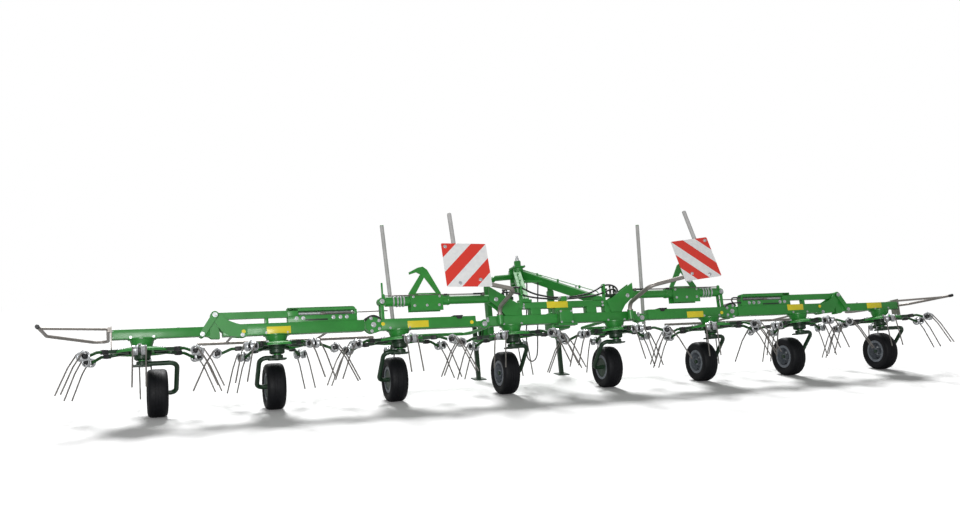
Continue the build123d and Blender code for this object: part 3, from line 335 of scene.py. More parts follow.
def sign_film(paints, side):
    """Retroreflective film on a warning board: red stripes at 45 degrees that fall towards the middle."""
    sign = SIDES[side]
    material = finish(f"sign film {side}", linear("F4F4F3"), linear("E8E9EA"), 40, (0.3, 0.42), (2.4, 0.03),
                      coat=0.25)
    tree, shader, place = surface(material)
    board = MACHINE @ sign_frame(side, sign)
    local = add_node(tree, "ShaderNodeMapping", {"Vector": place, "Location": board.to_translation(),
                                                 "Rotation": board.to_quaternion().to_euler()},
                     vector_type="TEXTURE")
    parts = add_node(tree, "ShaderNodeSeparateXYZ", {0: local.outputs[0]})
    across = add_node(tree, "ShaderNodeMath", {0: parts.outputs[0], 1: -sign / (SIGN_SIDE * MM)},
                      operation="MULTIPLY")
    down = add_node(tree, "ShaderNodeMath", {0: parts.outputs[2], 1: -1 / (SIGN_SIDE * MM), 2: across.outputs[0]},
                    operation="MULTIPLY_ADD")
    count = add_node(tree, "ShaderNodeMath", {0: down.outputs[0], 1: STRIPE_PAIRS, 2: STRIPE_PAIRS},
                     operation="MULTIPLY_ADD")
    share = add_node(tree, "ShaderNodeMath", {0: count.outputs[0]}, operation="FRACT")
    edge = add_node(tree, "ShaderNodeMath", {0: share.outputs[0], 1: 0.5}, operation="LESS_THAN")
    white = shader.inputs["Base Color"].links[0].from_socket
    tree.links.new(blend_colours(tree, edge.outputs[0], white, tuple(paints.red)), shader.inputs["Base Color"])


def tree_inputs(tree):
    """The identifier of each input socket of a geometry tree, by its name."""
    return {item.name: item.identifier for item in tree.interface.items_tree if item.in_out == "INPUT"}


def start_tree(name, sockets):
    """A geometry tree with its named inputs, and the group's input and output nodes."""
    tree = bpy.data.node_groups.new(name, "GeometryNodeTree")
    tree.interface.new_socket("Geometry", in_out="INPUT", socket_type="NodeSocketGeometry")
    for label, kind, default in sockets:
        socket = tree.interface.new_socket(label, in_out="INPUT", socket_type=kind)
        if default is not None:
            socket.default_value = default
    tree.interface.new_socket("Geometry", in_out="OUTPUT", socket_type="NodeSocketGeometry")
    return tree, tree.nodes.new("NodeGroupInput"), tree.nodes.new("NodeGroupOutput")


def end_tree(tree, geometry, given, result):
    """Makes the copies real, gives them their material and hands them on."""
    real = add_node(tree, "GeometryNodeRealizeInstances", {0: geometry})
    painted = add_node(tree, "GeometryNodeSetMaterial", {"Geometry": real.outputs[0],
                                                         "Material": given.outputs["Material"]})
    tree.links.new(painted.outputs[0], result.inputs[0])


def ring_tree():
    """Copies of the object's own mesh round its Z axis."""
    tree, given, result = start_tree("Copies round an axis", [
        ("Count", "NodeSocketInt", 6), ("Turn", "NodeSocketFloat", 0.0), ("Material", "NodeSocketMaterial", None)])
    points = add_node(tree, "GeometryNodePoints", {"Count": given.outputs["Count"]})
    step = add_node(tree, "ShaderNodeMath", {0: 2 * math.pi, 1: given.outputs["Count"]}, operation="DIVIDE")
    angle = add_node(tree, "ShaderNodeMath", {0: add_node(tree, "GeometryNodeInputIndex").outputs[0],
                                              1: step.outputs[0], 2: given.outputs["Turn"]},
                     operation="MULTIPLY_ADD")
    euler = add_node(tree, "ShaderNodeCombineXYZ", {"Z": angle.outputs[0]})
    turn = add_node(tree, "FunctionNodeEulerToRotation", {0: euler.outputs[0]})
    copies = add_node(tree, "GeometryNodeInstanceOnPoints", {
        "Points": points.outputs[0], "Instance": given.outputs["Geometry"], "Rotation": turn.outputs[0]})
    end_tree(tree, copies.outputs[0], given, result)


def bolt_tree():
    """A hexagon head on a washer at each point, as wide as its attribute width and facing along facing."""
    tree, given, result = start_tree("Hexagon bolts", [
        ("Head height", "NodeSocketFloat", 0.62), ("Washer width", "NodeSocketFloat", 1.75),
        ("Material", "NodeSocketMaterial", None)])
    height = given.outputs["Head height"]
    head = add_node(tree, "GeometryNodeMeshCylinder", {"Vertices": 6, "Radius": 0.577, "Depth": height})
    lift = add_node(tree, "ShaderNodeMath", {0: height, 1: 0.5, 2: 0.12}, operation="MULTIPLY_ADD")
    up = add_node(tree, "ShaderNodeCombineXYZ", {"Z": lift.outputs[0]})
    raised = add_node(tree, "GeometryNodeTransform", {"Geometry": head.outputs[0], "Translation": up.outputs[0]})
    half = add_node(tree, "ShaderNodeMath", {0: given.outputs["Washer width"], 1: 0.5}, operation="MULTIPLY")
    washer = add_node(tree, "GeometryNodeMeshCylinder", {"Vertices": 14, "Radius": half.outputs[0],
                                                         "Depth": 0.24})
    both = add_node(tree, "GeometryNodeJoinGeometry", {0: raised.outputs[0]})
    tree.links.new(washer.outputs[0], both.inputs[0])
    facing = add_node(tree, "GeometryNodeInputNamedAttribute", {"Name": "facing"}, data_type="FLOAT_VECTOR")
    width = add_node(tree, "GeometryNodeInputNamedAttribute", {"Name": "width"}, data_type="FLOAT")
    turn = add_node(tree, "FunctionNodeAlignRotationToVector", {"Vector": facing.outputs[0]}, axis="Z")
    copies = add_node(tree, "GeometryNodeInstanceOnPoints", {
        "Points": given.outputs["Geometry"], "Instance": both.outputs[0], "Rotation": turn.outputs[0],
        "Scale": width.outputs[0]})
    end_tree(tree, copies.outputs[0], given, result)


# Shapes, drawn into a bmesh in millimetres


def skin(shape, rings):
    """Faces between rings of points, with the two ends closed."""
    for lower, upper in zip(rings, rings[1:]):
        for k in range(len(lower)):
            after = (k + 1) % len(lower)
            shape.faces.new((lower[k], lower[after], upper[after], upper[k]))
    shape.faces.new(list(reversed(rings[0])))
    shape.faces.new(rings[-1])


def add_tube(shape, points, radius, sides=10):
    """A round bar along points."""
    points = [Vector(point) for point in points]
    rings, normal = [], None
    for index, point in enumerate(points):
        along = (points[min(index + 1, len(points) - 1)] - points[max(index - 1, 0)]).normalized()
        normal = along.orthogonal() if normal is None else normal - along * normal.dot(along)
        normal.normalize()
        other = along.cross(normal)
        ring = []
        for k in range(sides):
            angle = 2 * math.pi * k / sides
            ring.append(shape.verts.new(point + radius * (math.cos(angle) * normal + math.sin(angle) * other)))
        rings.append(ring)
    skin(shape, rings)


def bend(points, radius, steps=6):
    """The points of a bar's line with its corners bent to one radius."""
    points = [Vector(point) for point in points]
    line = [points[0]]
    for before, corner, after in zip(points, points[1:], points[2:]):
        back, ahead = (before - corner).normalized(), (after - corner).normalized()
        half = back.angle(ahead) / 2
        if half > math.radians(89.5):
            line.append(corner)
            continue
        reach = min(radius / math.tan(half), 0.48 * (before - corner).length, 0.48 * (after - corner).length)
        size = reach * math.tan(half)
        centre = corner + (back + ahead).normalized() * size / math.sin(half)
        start, end = corner + back * reach - centre, corner + ahead * reach - centre
        sweep = start.angle(end)
        for step in range(steps + 1):
            share = step / steps
            weight = (math.sin((1 - share) * sweep), math.sin(share * sweep))
            line.append(centre + (start * weight[0] + end * weight[1]) / math.sin(sweep))
    line.append(points[-1])
    return line


def add_lathe(shape, profile, place=None, steps=32, closed=False):
    """A turned form round the Z axis of place; profile holds radius and height."""
    place = place or Matrix()
    rings = []
    for radius, height in profile:
        count = steps if radius > 0 else 1
        ring = []
        for k in range(count):
            angle = 2 * math.pi * k / count
            ring.append(shape.verts.new(place @ Vector((radius * math.cos(angle), radius * math.sin(angle), height))))
        rings.append(ring)
    pairs = list(zip(rings, rings[1:])) + ([(rings[-1], rings[0])] if closed else [])
    for lower, upper in pairs:
        for k in range(steps):
            corners = [lower[k % len(lower)], lower[(k + 1) % len(lower)],
                       upper[(k + 1) % len(upper)], upper[k % len(upper)]]
            corners = list(dict.fromkeys(corners))
            if len(corners) > 2:
                shape.faces.new(corners)


def add_box(shape, low, high, bevel=0.0, place=None):
    """A block between two corners with its edges rounded, in the frame of place."""
    low, high = Vector(low), Vector(high)
    size = high - low
    place = (place or Matrix()) @ Matrix.Translation((low + high) / 2)
    made = bmesh.ops.create_cube(shape, size=1, matrix=place @ Matrix.Diagonal((*size, 1)))
    if bevel:
        edges = list({edge for vert in made["verts"] for edge in vert.link_edges})
        bmesh.ops.bevel(shape, geom=edges, offset=bevel, segments=2, profile=0.5, affect="EDGES")


def drum(radius, low, high):
    """The profile of a plain turned form between two heights."""
    return [(0, low), (radius, low), (radius, high), (0, high)]


def add_plate(shape, outline, y0, y1):
    """A flat plate between y0 and y1 whose outline is given in X and Z."""
    near = [shape.verts.new((x, y0, z)) for x, z in outline]
    far = [shape.verts.new((x, y1, z)) for x, z in outline]
    skin(shape, [near, far])


def arc(centre, radius, start, end, steps=8):
    """Points of an arc in degrees, as X and Z pairs."""
    x, z = centre
    angles = [math.radians(start + (end - start) * k / steps) for k in range(steps + 1)]
    return [(x + radius * math.cos(angle), z + radius * math.sin(angle)) for angle in angles]


def along_y(x, y, z):
    """The place of a turned form whose axis points to the rear."""
    return Matrix.Translation((x, y, z)) @ Matrix.Rotation(math.radians(90), 4, "X")


def along_x(x, y, z):
    """The place of a turned form whose axis points across the machine."""
    return Matrix.Translation((x, y, z)) @ Matrix.Rotation(math.radians(90), 4, "Y")


def to_left(side):
    """The matrix that takes the right-hand side to a side."""
    return Matrix.Diagonal((side, 1, 1, 1))


def add_piece(name, mesh, body, material=None, sharp=SHARP):
    """Links a finished mesh as a piece on a body, smooth but for its sharp edges."""
    if material:
        mesh.materials.append(bpy.data.materials[material])
    mesh.shade_smooth()
    mesh.set_sharp_from_angle(angle=math.radians(sharp))
    piece = bpy.data.objects.new(name, mesh)
    bpy.context.scene.collection.objects.link(piece)
    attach(piece, body)
    return piece


def to_mesh(name, shape, place):
    """Closes a bmesh, takes it to its place and turns its faces outwards."""
    bmesh.ops.transform(shape, matrix=place, verts=shape.verts)
    bmesh.ops.recalc_face_normals(shape, faces=shape.faces)
    mesh = bpy.data.meshes.new(name)
    shape.to_mesh(mesh)
    shape.free()
    return mesh


def add_shape(name, shape, body, slot, material, place=None, sharp=SHARP, instead=None):
    """Makes a bmesh in the machine's millimetres a piece on a body; instead is the CAD node it stands for."""
    piece = add_piece(name, to_mesh(name, shape, place or MACHINE), body, material, sharp)
    if instead:
        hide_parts(instead)


def draw_piece(name, draw, body, slot, material, place=None, sharp=SHARP, instead=None):
    """Makes a piece of what draw adds to a bmesh."""
    shape = bmesh.new()
    draw(shape)
    add_shape(name, shape, body, slot, material, place, sharp, instead)


def both_sides(name, draw, body, slot, material, sharp=SHARP, sides=("right", "left"), instead=None):
    """Makes the right-hand piece that draw makes and its mirror image, or one of them."""
    for side in sides:
        draw_piece(f"{name}_{side}", draw, f"{body}_{side}" if body != "centre" else body, slot, material,
                   MACHINE @ to_left(SIDES[side]), sharp, instead and f"{instead}_{side}")


def add_plates(shape, outline, inner, outer):
    """A pair of plates on both sides of the beams' middle."""
    add_plate(shape, outline, inner, outer)
    add_plate(shape, outline, -outer, -inner)


def add_pin(shape, x, z, radius, half, chamfer=1.5):
    """A round pin or boss across the beams."""
    add_lathe(shape, [(0, -half), (radius - chamfer, -half), (radius, chamfer - half), (radius, half - chamfer),
                      (radius - chamfer, half), (0, half)], along_y(x, 0, z), 32)


def add_pot(shape, x, bottom):
    """The drive pot under a beam with the shaft that carries rotor and wheel."""
    add_lathe(shape, [(0, bottom + 1), (112, bottom + 1), (112, bottom - 8), (97, bottom - 9), (80, -111),
                      (30, -111), (30, -225), (0, -225)], Matrix.Translation((x, 0, 0)), 40)


def grow(name, mesh, tree, inputs, place, body, sharp=SHARP):
    """Runs a geometry tree over a mesh and makes the result a plain piece."""
    holder = bpy.data.objects.new(name + "_source", mesh)
    bpy.context.scene.collection.objects.link(holder)
    modifier = holder.modifiers.new("tree", "NODES")
    modifier.node_group = tree
    sockets = tree_inputs(tree)
    for label, value in inputs.items():
        modifier[sockets[label]] = value
    bpy.context.view_layer.update()
    graph = bpy.context.evaluated_depsgraph_get()
    made = bpy.data.meshes.new_from_object(holder.evaluated_get(graph))
    made.name = name
    holder.modifiers.remove(modifier)
    bpy.data.objects.remove(holder)
    made.transform(place)
    if place.determinant() < 0:
        made.flip_normals()
    add_piece(name, made, body, None, sharp)


def add_bolts(name, bolts, body, sign=1, place=None):
    """Plated bolts from rows of X, Y, Z, facing and width across flats, on a side or in the frame of place."""
    mesh = bpy.data.meshes.new(name)
    mesh.from_pydata([row[:3] for row in bolts], [], [])
    # A new attribute can move the older ones, so they are looked up again once both are there
    mesh.attributes.new("facing", "FLOAT_VECTOR", "POINT")
    mesh.attributes.new("width", "FLOAT", "POINT")
    mesh.attributes["facing"].data.foreach_set("vector", [value for row in bolts for value in row[3]])
    mesh.attributes["width"].data.foreach_set("value", [row[4] for row in bolts])
    grow(name, mesh, bpy.data.node_groups["Hexagon bolts"], {"Material": bpy.data.materials["plated steel"]},
         place or MACHINE @ to_left(sign), body, SHARP_FINE)


# Operators, one for each group of pieces


class TEDDER_OT_finishes(bpy.types.Operator):
    """Make the finishes and put them on the frame's own pieces."""

    bl_idname = "tedder.finishes"
    bl_label = "Finishes"

    # The rotors, carriers and stands take the dark green that is partly painted shade
    NODE_FINISHES = [
        ("sign_board_right", "sign film right"), ("sign_board_left", "sign film left"),
        ("tyre", "tread rubber"), ("rim", "silver lacquer"), ("carrier", "dark enamel"), ("rotor", "dark enamel"),
        ("hoop", "hot-dip zinc"), ("guard_rail", "hot-dip zinc"), ("front_guards", "green enamel"),
        ("sign_post", "hot-dip zinc"), ("stand", "dark enamel"), ("rope", "braided rope"),
        ("hoses", "black rubber"), ("", "green enamel"),
    ]

    def execute(self, context):
        paints = context.scene.tedder_paints
        plain_finishes(paints)
        zinc_coat(paints)
        for side in SIDES:
            sign_film(paints, side)
        for node, piece in frame["nodes"].items():
            finish_name = next(name for start, name in self.NODE_FINISHES if node.startswith(start))
            piece.data.materials.clear()
            piece.data.materials.append(bpy.data.materials[finish_name])
        ring_tree()
        bolt_tree()
        return {"FINISHED"}


class TEDDER_OT_rotors(bpy.types.Operator):
    """Build the discs, arms, coils and tines of the rotors."""

    bl_idname = "tedder.rotors"
    bl_label = "Rotors"

    DISC = [
        (0, -117), (146, -117), (150, -118.5), (222, -136), (229, -140), (231, -146), (231, -158), (225, -158),
        (224, -150), (220, -145), (148, -126), (0, -126),
    ]
    HUB = [(0, -125), (66, -125), (74, -134), (74, -172), (66, -178), (66, -206), (52, -216), (0, -216)]
    DISC_EDGE = (148, -117.5)      # radius and height from which the disc falls off outwards
    DISC_FALL = 0.245              # for each millimetre outwards
    BOLT_CIRCLES = (175, 208)
    COIL_Z = -186
    COIL_START = 8                 # from the middle of the arm to the first turn
    COIL_END = 43                  # and to the last
    KNEE = (601, -272)             # where a tine bends: distance from the axis and height

    def arm(self):
        """The bent tube of one arm."""
        shape = bmesh.new()
        path = bend([(296, 0, -150), (384, 0, -153), (466, 0, -187), (498, 0, -189)], 40)
        add_tube(shape, path, 12.5, 12)
        return shape

    def root(self):
        """The pressed root of an arm under the disc."""
        shape = bmesh.new()
        outline = [(118, -128), (250, -132), (322, -138), (336, -150), (322, -164), (232, -160), (118, -156)]
        add_plate(shape, outline, -17, 17)
        return shape

    def holder(self, reach):
        """The black carrier of a pair of coils, reach from the rotor's axis, with its clamp over the arm."""
        shape = bmesh.new()
        for sign in (-1, 1):
            place = Matrix.Translation((reach, 0, self.COIL_Z)) @ Matrix.Rotation(sign * math.radians(90), 4, "X")
            add_lathe(shape, [(0, 0), (14, 0), (14, 40), (18, 40), (18, 46), (8, 49), (0, 49)], place, 12)
        add_box(shape, (reach - 36, -17, self.COIL_Z - 17), (reach + 20, 17, self.COIL_Z + 17), 5)
        add_box(shape, (300, -21, -170), (352, 21, -134), 4)
        return shape

    def tines(self, sizes):
        """The pair of coils, joined over the arm, and the tines that leave them."""
        shape, legs = bmesh.new(), bmesh.new()
        wire = sizes.wire / MM / 2
        reach, radius = sizes.coil_reach / MM, sizes.coil_radius / MM - wire
        tip = (sizes.tip_reach / MM, self.COIL_Z - sizes.tip_drop / MM)
        leave = math.atan2(self.KNEE[1] - self.COIL_Z, self.KNEE[0] - reach)
        distance = math.hypot(self.KNEE[1] - self.COIL_Z, self.KNEE[0] - reach)
        last = leave + math.acos(radius / distance)
        steps = round(sizes.turns * 11)
        for sign in (-1, 1):
            points = []
            for k in range(steps + 1):
                angle = last + (1 - k / steps) * sizes.turns * 2 * math.pi
                y = sign * (self.COIL_START + wire + (self.COIL_END - self.COIL_START) * k / steps)
                points.append((reach + radius * math.cos(angle), y, self.COIL_Z + radius * math.sin(angle)))
            outer = points[-1][1]
            knee = bend([points[-1], (self.KNEE[0], outer, self.KNEE[1]), (tip[0], outer * 1.04, tip[1])], 26, 4)
            add_tube(shape, points, wire, 7)
            add_tube(legs, knee, wire, 8)
        first = last + sizes.turns * 2 * math.pi
        loop_x, loop_z = reach + radius * math.cos(first), self.COIL_Z + radius * math.sin(first)
        y = self.COIL_START + wire
        add_tube(shape, bend([(loop_x, -y, loop_z), (loop_x - 14, -y + 3, loop_z + 12),
                              (loop_x - 14, y - 3, loop_z + 12), (loop_x, y, loop_z)], 8, 3), wire, 7)
        return shape, legs

    def execute(self, context):
        sizes = context.scene.tedder_rotors
        tree = bpy.data.node_groups["Copies round an axis"]
        coils, legs = self.tines(sizes)
        parts = [
            # The arms' green is darkened with painted shade
            ("rotor_arms", self.arm(), "dark_paint", "arm enamel"),
            ("arm_roots", self.root(), *DARK_AND_SHADE),
            ("tine_holders", self.holder(sizes.coil_reach / MM), "dark_paint", "black rubber"),
            ("coils", coils, *PLATED),
            ("tines", legs, *WIRE),
        ]
        meshes = [(name, to_mesh(name, shape, Matrix()), slot, material) for name, shape, slot, material in parts]
        for number in range(1, ROTOR_COUNT + 1):
            body = f"rotor_{number}"
            x = SPINS[body]["pos_m"][0] / MM
            place = MACHINE @ Matrix.Translation((x, 0, 0))
            turn = sizes.turns_at_rest[number - 1]
            for name, mesh, slot, material in meshes:
                grow(f"{name}_{number}", mesh, tree, {"Count": sizes.arm_count, "Turn": turn,
                                                      "Material": bpy.data.materials[material]},
                     place, body)
            disc, hub = bmesh.new(), bmesh.new()
            add_lathe(disc, self.DISC, steps=48)
            add_lathe(hub, self.HUB, steps=20)
            add_shape(f"rotor_disc_{number}", disc, body, *GREEN, place, instead=body)
            # The hub in the dark green, which is partly painted shade under the disc
            add_shape(f"rotor_hub_{number}", hub, body, *DARK_AND_SHADE, place)
            bolts = []
            for k in range(sizes.arm_count):
                angle = turn + 2 * math.pi * k / sizes.arm_count
                for radius in self.BOLT_CIRCLES:
                    z = self.DISC_EDGE[1] - (radius - self.DISC_EDGE[0]) * self.DISC_FALL
                    bolts.append((x + radius * math.cos(angle), radius * math.sin(angle), z, (0, 0, 1), 15))
            add_bolts(f"rotor_bolts_{number}", bolts, body)
        return {"FINISHED"}


class TEDDER_OT_tyres(bpy.types.Operator):
    """Build the tyres with their grooves, and the wheels' nuts and valves."""

    bl_idname = "tedder.tyres"
    bl_label = "Tyres"

    BEAD = (62, 101.6)             # the tyre's inner edge, X and radius
    FLANGE_RADIUS = 121            # of the rim
    NUT_CIRCLE, NUT_WIDTH = 50, 15.0         # radius of the circle and width across flats

    def profile(self, sizes):
        """Half of the tyre's section, from the bead to the middle of the tread, as X and radius."""
        outer, half = sizes.diameter / MM / 2, sizes.width / MM / 2
        crown = half - 36
        side = [self.BEAD, (self.BEAD[0], self.FLANGE_RADIUS), (68, self.FLANGE_RADIUS + 3),
                (half - 8, self.FLANGE_RADIUS + 13), (half - 1.5, 150), (half, 162), (half - 1, 172),
                (half - 4, outer - 20), (half - 10, outer - 11), (half - 20, outer - 4.5), (crown, outer - 1)]
        tread, depth, wide = [], sizes.groove / MM, 3.5
        spacing = 2 * crown / (sizes.grooves + 1)
        for k in range(sizes.grooves + 1):
            x = crown - spacing * (k + 1)
            if x > -1e-6:
                tread += [(x + wide, outer), (x + wide * 0.7, outer - depth), (max(x - wide * 0.7, 0), outer - depth)]
                tread += [(x - wide, outer)] if x > wide else []
        return side + tread

    def execute(self, context):
        sizes = context.scene.tedder_tyres
        half = self.profile(sizes)
        section = half + [(-x, radius) for x, radius in reversed(half) if x > 1e-6]
        turn = Matrix.Rotation(math.radians(90), 4, "Y")
        for number in range(1, ROTOR_COUNT + 1):
            body = f"wheel_{number}"
            place = Matrix.Translation(SPINS[body]["pos_m"]) @ Matrix.Scale(MM, 4) @ turn
            shape = bmesh.new()
            add_lathe(shape, [(radius, x) for x, radius in section], steps=72, closed=True)
            add_shape(f"tyre_tread_{number}", shape, body, "tyre", "tread rubber", place, SHARP_FINE,
                      f"tyre_{number}")
            self.fittings(number, body, place)
        return {"FINISHED"}

    def fittings(self, number, body, place):
        """Four nuts on each side of the disc and the valve."""
        nuts = []
        for k in range(4):
            angle = math.radians(45 + 90 * k)
            x, y = self.NUT_CIRCLE * math.cos(angle), self.NUT_CIRCLE * math.sin(angle)
            nuts += [(x, y, -1.5, (0, 0, -1), self.NUT_WIDTH), (x, y, 4.5, (0, 0, 1), self.NUT_WIDTH)]
        add_bolts(f"wheel_nuts_{number}", nuts, body, place=place)
        shape = bmesh.new()
        add_tube(shape, bend([(82, 0, -8), (82, 0, -30), (70, 0, -48)], 8), 3.5, 8)
        add_shape(f"valve_{number}", shape, body, "tyre", "black rubber", place)


class TEDDER_OT_signs(bpy.types.Operator):
    """Build the warning boards with their tubes and clips, the poles and the lamp."""

    bl_idname = "tedder.signs"
    bl_label = "Signs and poles"

    LAMP_PLACE = (1128, -508, 262)

    def pole_profile(self, length):
        """A plastic pole with a rounded end."""
        radius = POLE_RADIUS
        return [(0, 0), (radius, 0), (radius, length - 8), (radius - 2, length + 1), (radius - 11, length + 7),
                (0, length + 9)]

    def board(self, shape):
        """The plate of a warning board, round its middle."""
        inner = SIGN_SIDE / 2 - 12
        outline = []
        for quarter, (x, z) in enumerate(((1, 1), (-1, 1), (-1, -1), (1, -1))):
            outline += arc((x * inner, z * inner), 12, 90 * quarter, 90 * quarter + 90, 4)
        add_plate(shape, outline, -1.5, 1.5)

    def rear_pole(self, shape):
        across, behind, bottom, top = REAR_POLE
        add_lathe(shape, self.pole_profile(top - bottom), Matrix.Translation((across, behind + 2.3, bottom)), 20)

    def clips(self, shape):
        across = REAR_POLE[0]
        for height in (-120, 60, 170):
            add_box(shape, (across - 30, 1.6, height - 11), (across + 30, 44, height + 11), 4)

    def execute(self, context):
        for side, sign in SIDES.items():
            hold, body, place = sign_frame(side), f"sign_{side}", MACHINE @ to_left(sign)
            for name, draw, slot, material, node in (
                ("board", self.board, "sign_white", f"sign film {side}", f"sign_board_{side}"),
                ("rear_pole", self.rear_pole, *PLASTIC, None),
                ("pole_clips", self.clips, *ZINC, None),
            ):
                draw_piece(f"{name}_{side}", draw, body, slot, material, place @ hold, instead=node)
            shape = bmesh.new()
            add_tube(shape, bend(SIGN_TUBE + [hold @ Vector((-60, 28, -145))], 75, 10), 20, 18)
            add_lathe(shape, drum(30, 0, 10), Matrix.Translation((*SOCKET, 41.5)), 24)
            add_box(shape, (-140, 1.6, -165), (105, 10, -125), 2, place=hold)
            add_shape(f"sign_tube_{side}", shape, body, *ZINC, place, instead=f"sign_post_{side}")
            corner = SIGN_SIDE / 2 - 34
            spots = [hold @ Vector((x, -1.6, z))
                     for x, z in ((corner, corner), (REAR_POLE[0], -corner), (-110, -145))]
            facing = hold.to_3x3() @ Vector(REARWARDS)
            add_bolts(f"sign_bolts_{side}", [(*spot, facing, 19) for spot in spots], body, sign)

        def front_pole(shape):
            x, y, lean, height = FRONT_POLE
            turn = Matrix.Rotation(math.radians(lean), 4, "Y")
            length = (height + 30) / math.cos(math.radians(lean))
            add_lathe(shape, self.pole_profile(length), Matrix.Translation((x, y, -31)) @ turn, 20)

        def lamp(shape):
            add_lathe(shape, [(0, 0), (24, 0), (27, 10), (27, 20), (20, 30), (0, 33)], along_y(*self.LAMP_PLACE), 20)

        both_sides("front_pole", front_pole, "centre", *PLASTIC)
        both_sides("lamp", lamp, "sign", "sign_white", "lamp lens", sides=("right",))
        return {"FINISHED"}


class TEDDER_OT_cylinders(bpy.types.Operator):
    """Build the rings, pipes and rods of the folding cylinders."""

    bl_idname = "tedder.cylinders"
    bl_label = "Folding cylinders"

    def execute(self, context):
        def rings(shape):
            for x in (1592, 1622, 1652, 1690):
                add_lathe(shape, [(41, -7), (49, -7), (52, -4), (52, 4), (49, 7), (41, 7)],
                          along_x(x, 0, CYLINDER_Z), 28, closed=True)

        def pipes(shape):
            add_tube(shape, [(1150, -18, 262), (1786, -24, 262)], 5.5, 10)
            add_tube(shape, bend([(1160, 14, 259), (1610, 14, 259), (1640, 14, 246)], 16), 4.5, 8)

        def lug(shape):
            outline = arc((EYE_X - 18, 264), 15, 0, 180) + [(EYE_X - 33, 232), (EYE_X - 3, 232)]
            add_plate(shape, outline, -31, -18)
            add_box(shape, (EYE_X - 62, -30, 176), (EYE_X + 4, -25, 244), 4)

        def tall_lug(shape):
            add_box(shape, (EYE_X - 26, -8, 236), (EYE_X - 8, 2, 386), 4)

        def sliding_pipes(shape):
            add_tube(shape, [(812, -18, 262), (1190, -18, 262)], 3.6, 8)
            add_tube(shape, [(820, 14, 259), (1200, 14, 259)], 3, 8)
            add_box(shape, (800, -26, 244), (826, 22, 272), 4)

        def sleeves(shape):
            add_tube(shape, [(832, -18, 262), (910, -18, 262)], 8, 12)
            add_tube(shape, [(1168, -18, 262), (1200, -18, 262)], 8, 12)

        def collar(shape):
            add_lathe(shape, [(0, -9), (44, -9), (47, -5), (47, 5), (44, 9), (0, 9)],
                      along_x(1163, 0, CYLINDER_Z), 28)

        both_sides("gland_rings", rings, "barrel", *PLATED)
        both_sides("cylinder_pipes", pipes, "barrel", *WIRE)
        both_sides("eye_lug", lug, "barrel", *GREEN)
        both_sides("tall_lug", tall_lug, "barrel", *GREEN, sides=("left",))
        both_sides("sliding_pipes", sliding_pipes, "rod", *WIRE)
        both_sides("pipe_sleeves", sleeves, "rod", "dark_paint", "black rubber")
        both_sides("mouth_collar", collar, "barrel", *GREEN)
        for side, sign in SIDES.items():
            rows = [(x, face * 51, 162, facing, 15) for face, facing in FACES for x in (1262, 1380, 1498)]
            rows += [(x, -51, 242, REARWARDS, 13) for x in (1255, 1505)]
            add_bolts(f"cylinder_bolts_{side}", rows, f"barrel_{side}", sign)
            pins = [(EYE_X, face * 46, CYLINDER_Z, facing, 26) for face, facing in FACES]
            add_bolts(f"eye_pin_{side}", pins, f"arm_a_{side}", sign)
        return {"FINISHED"}


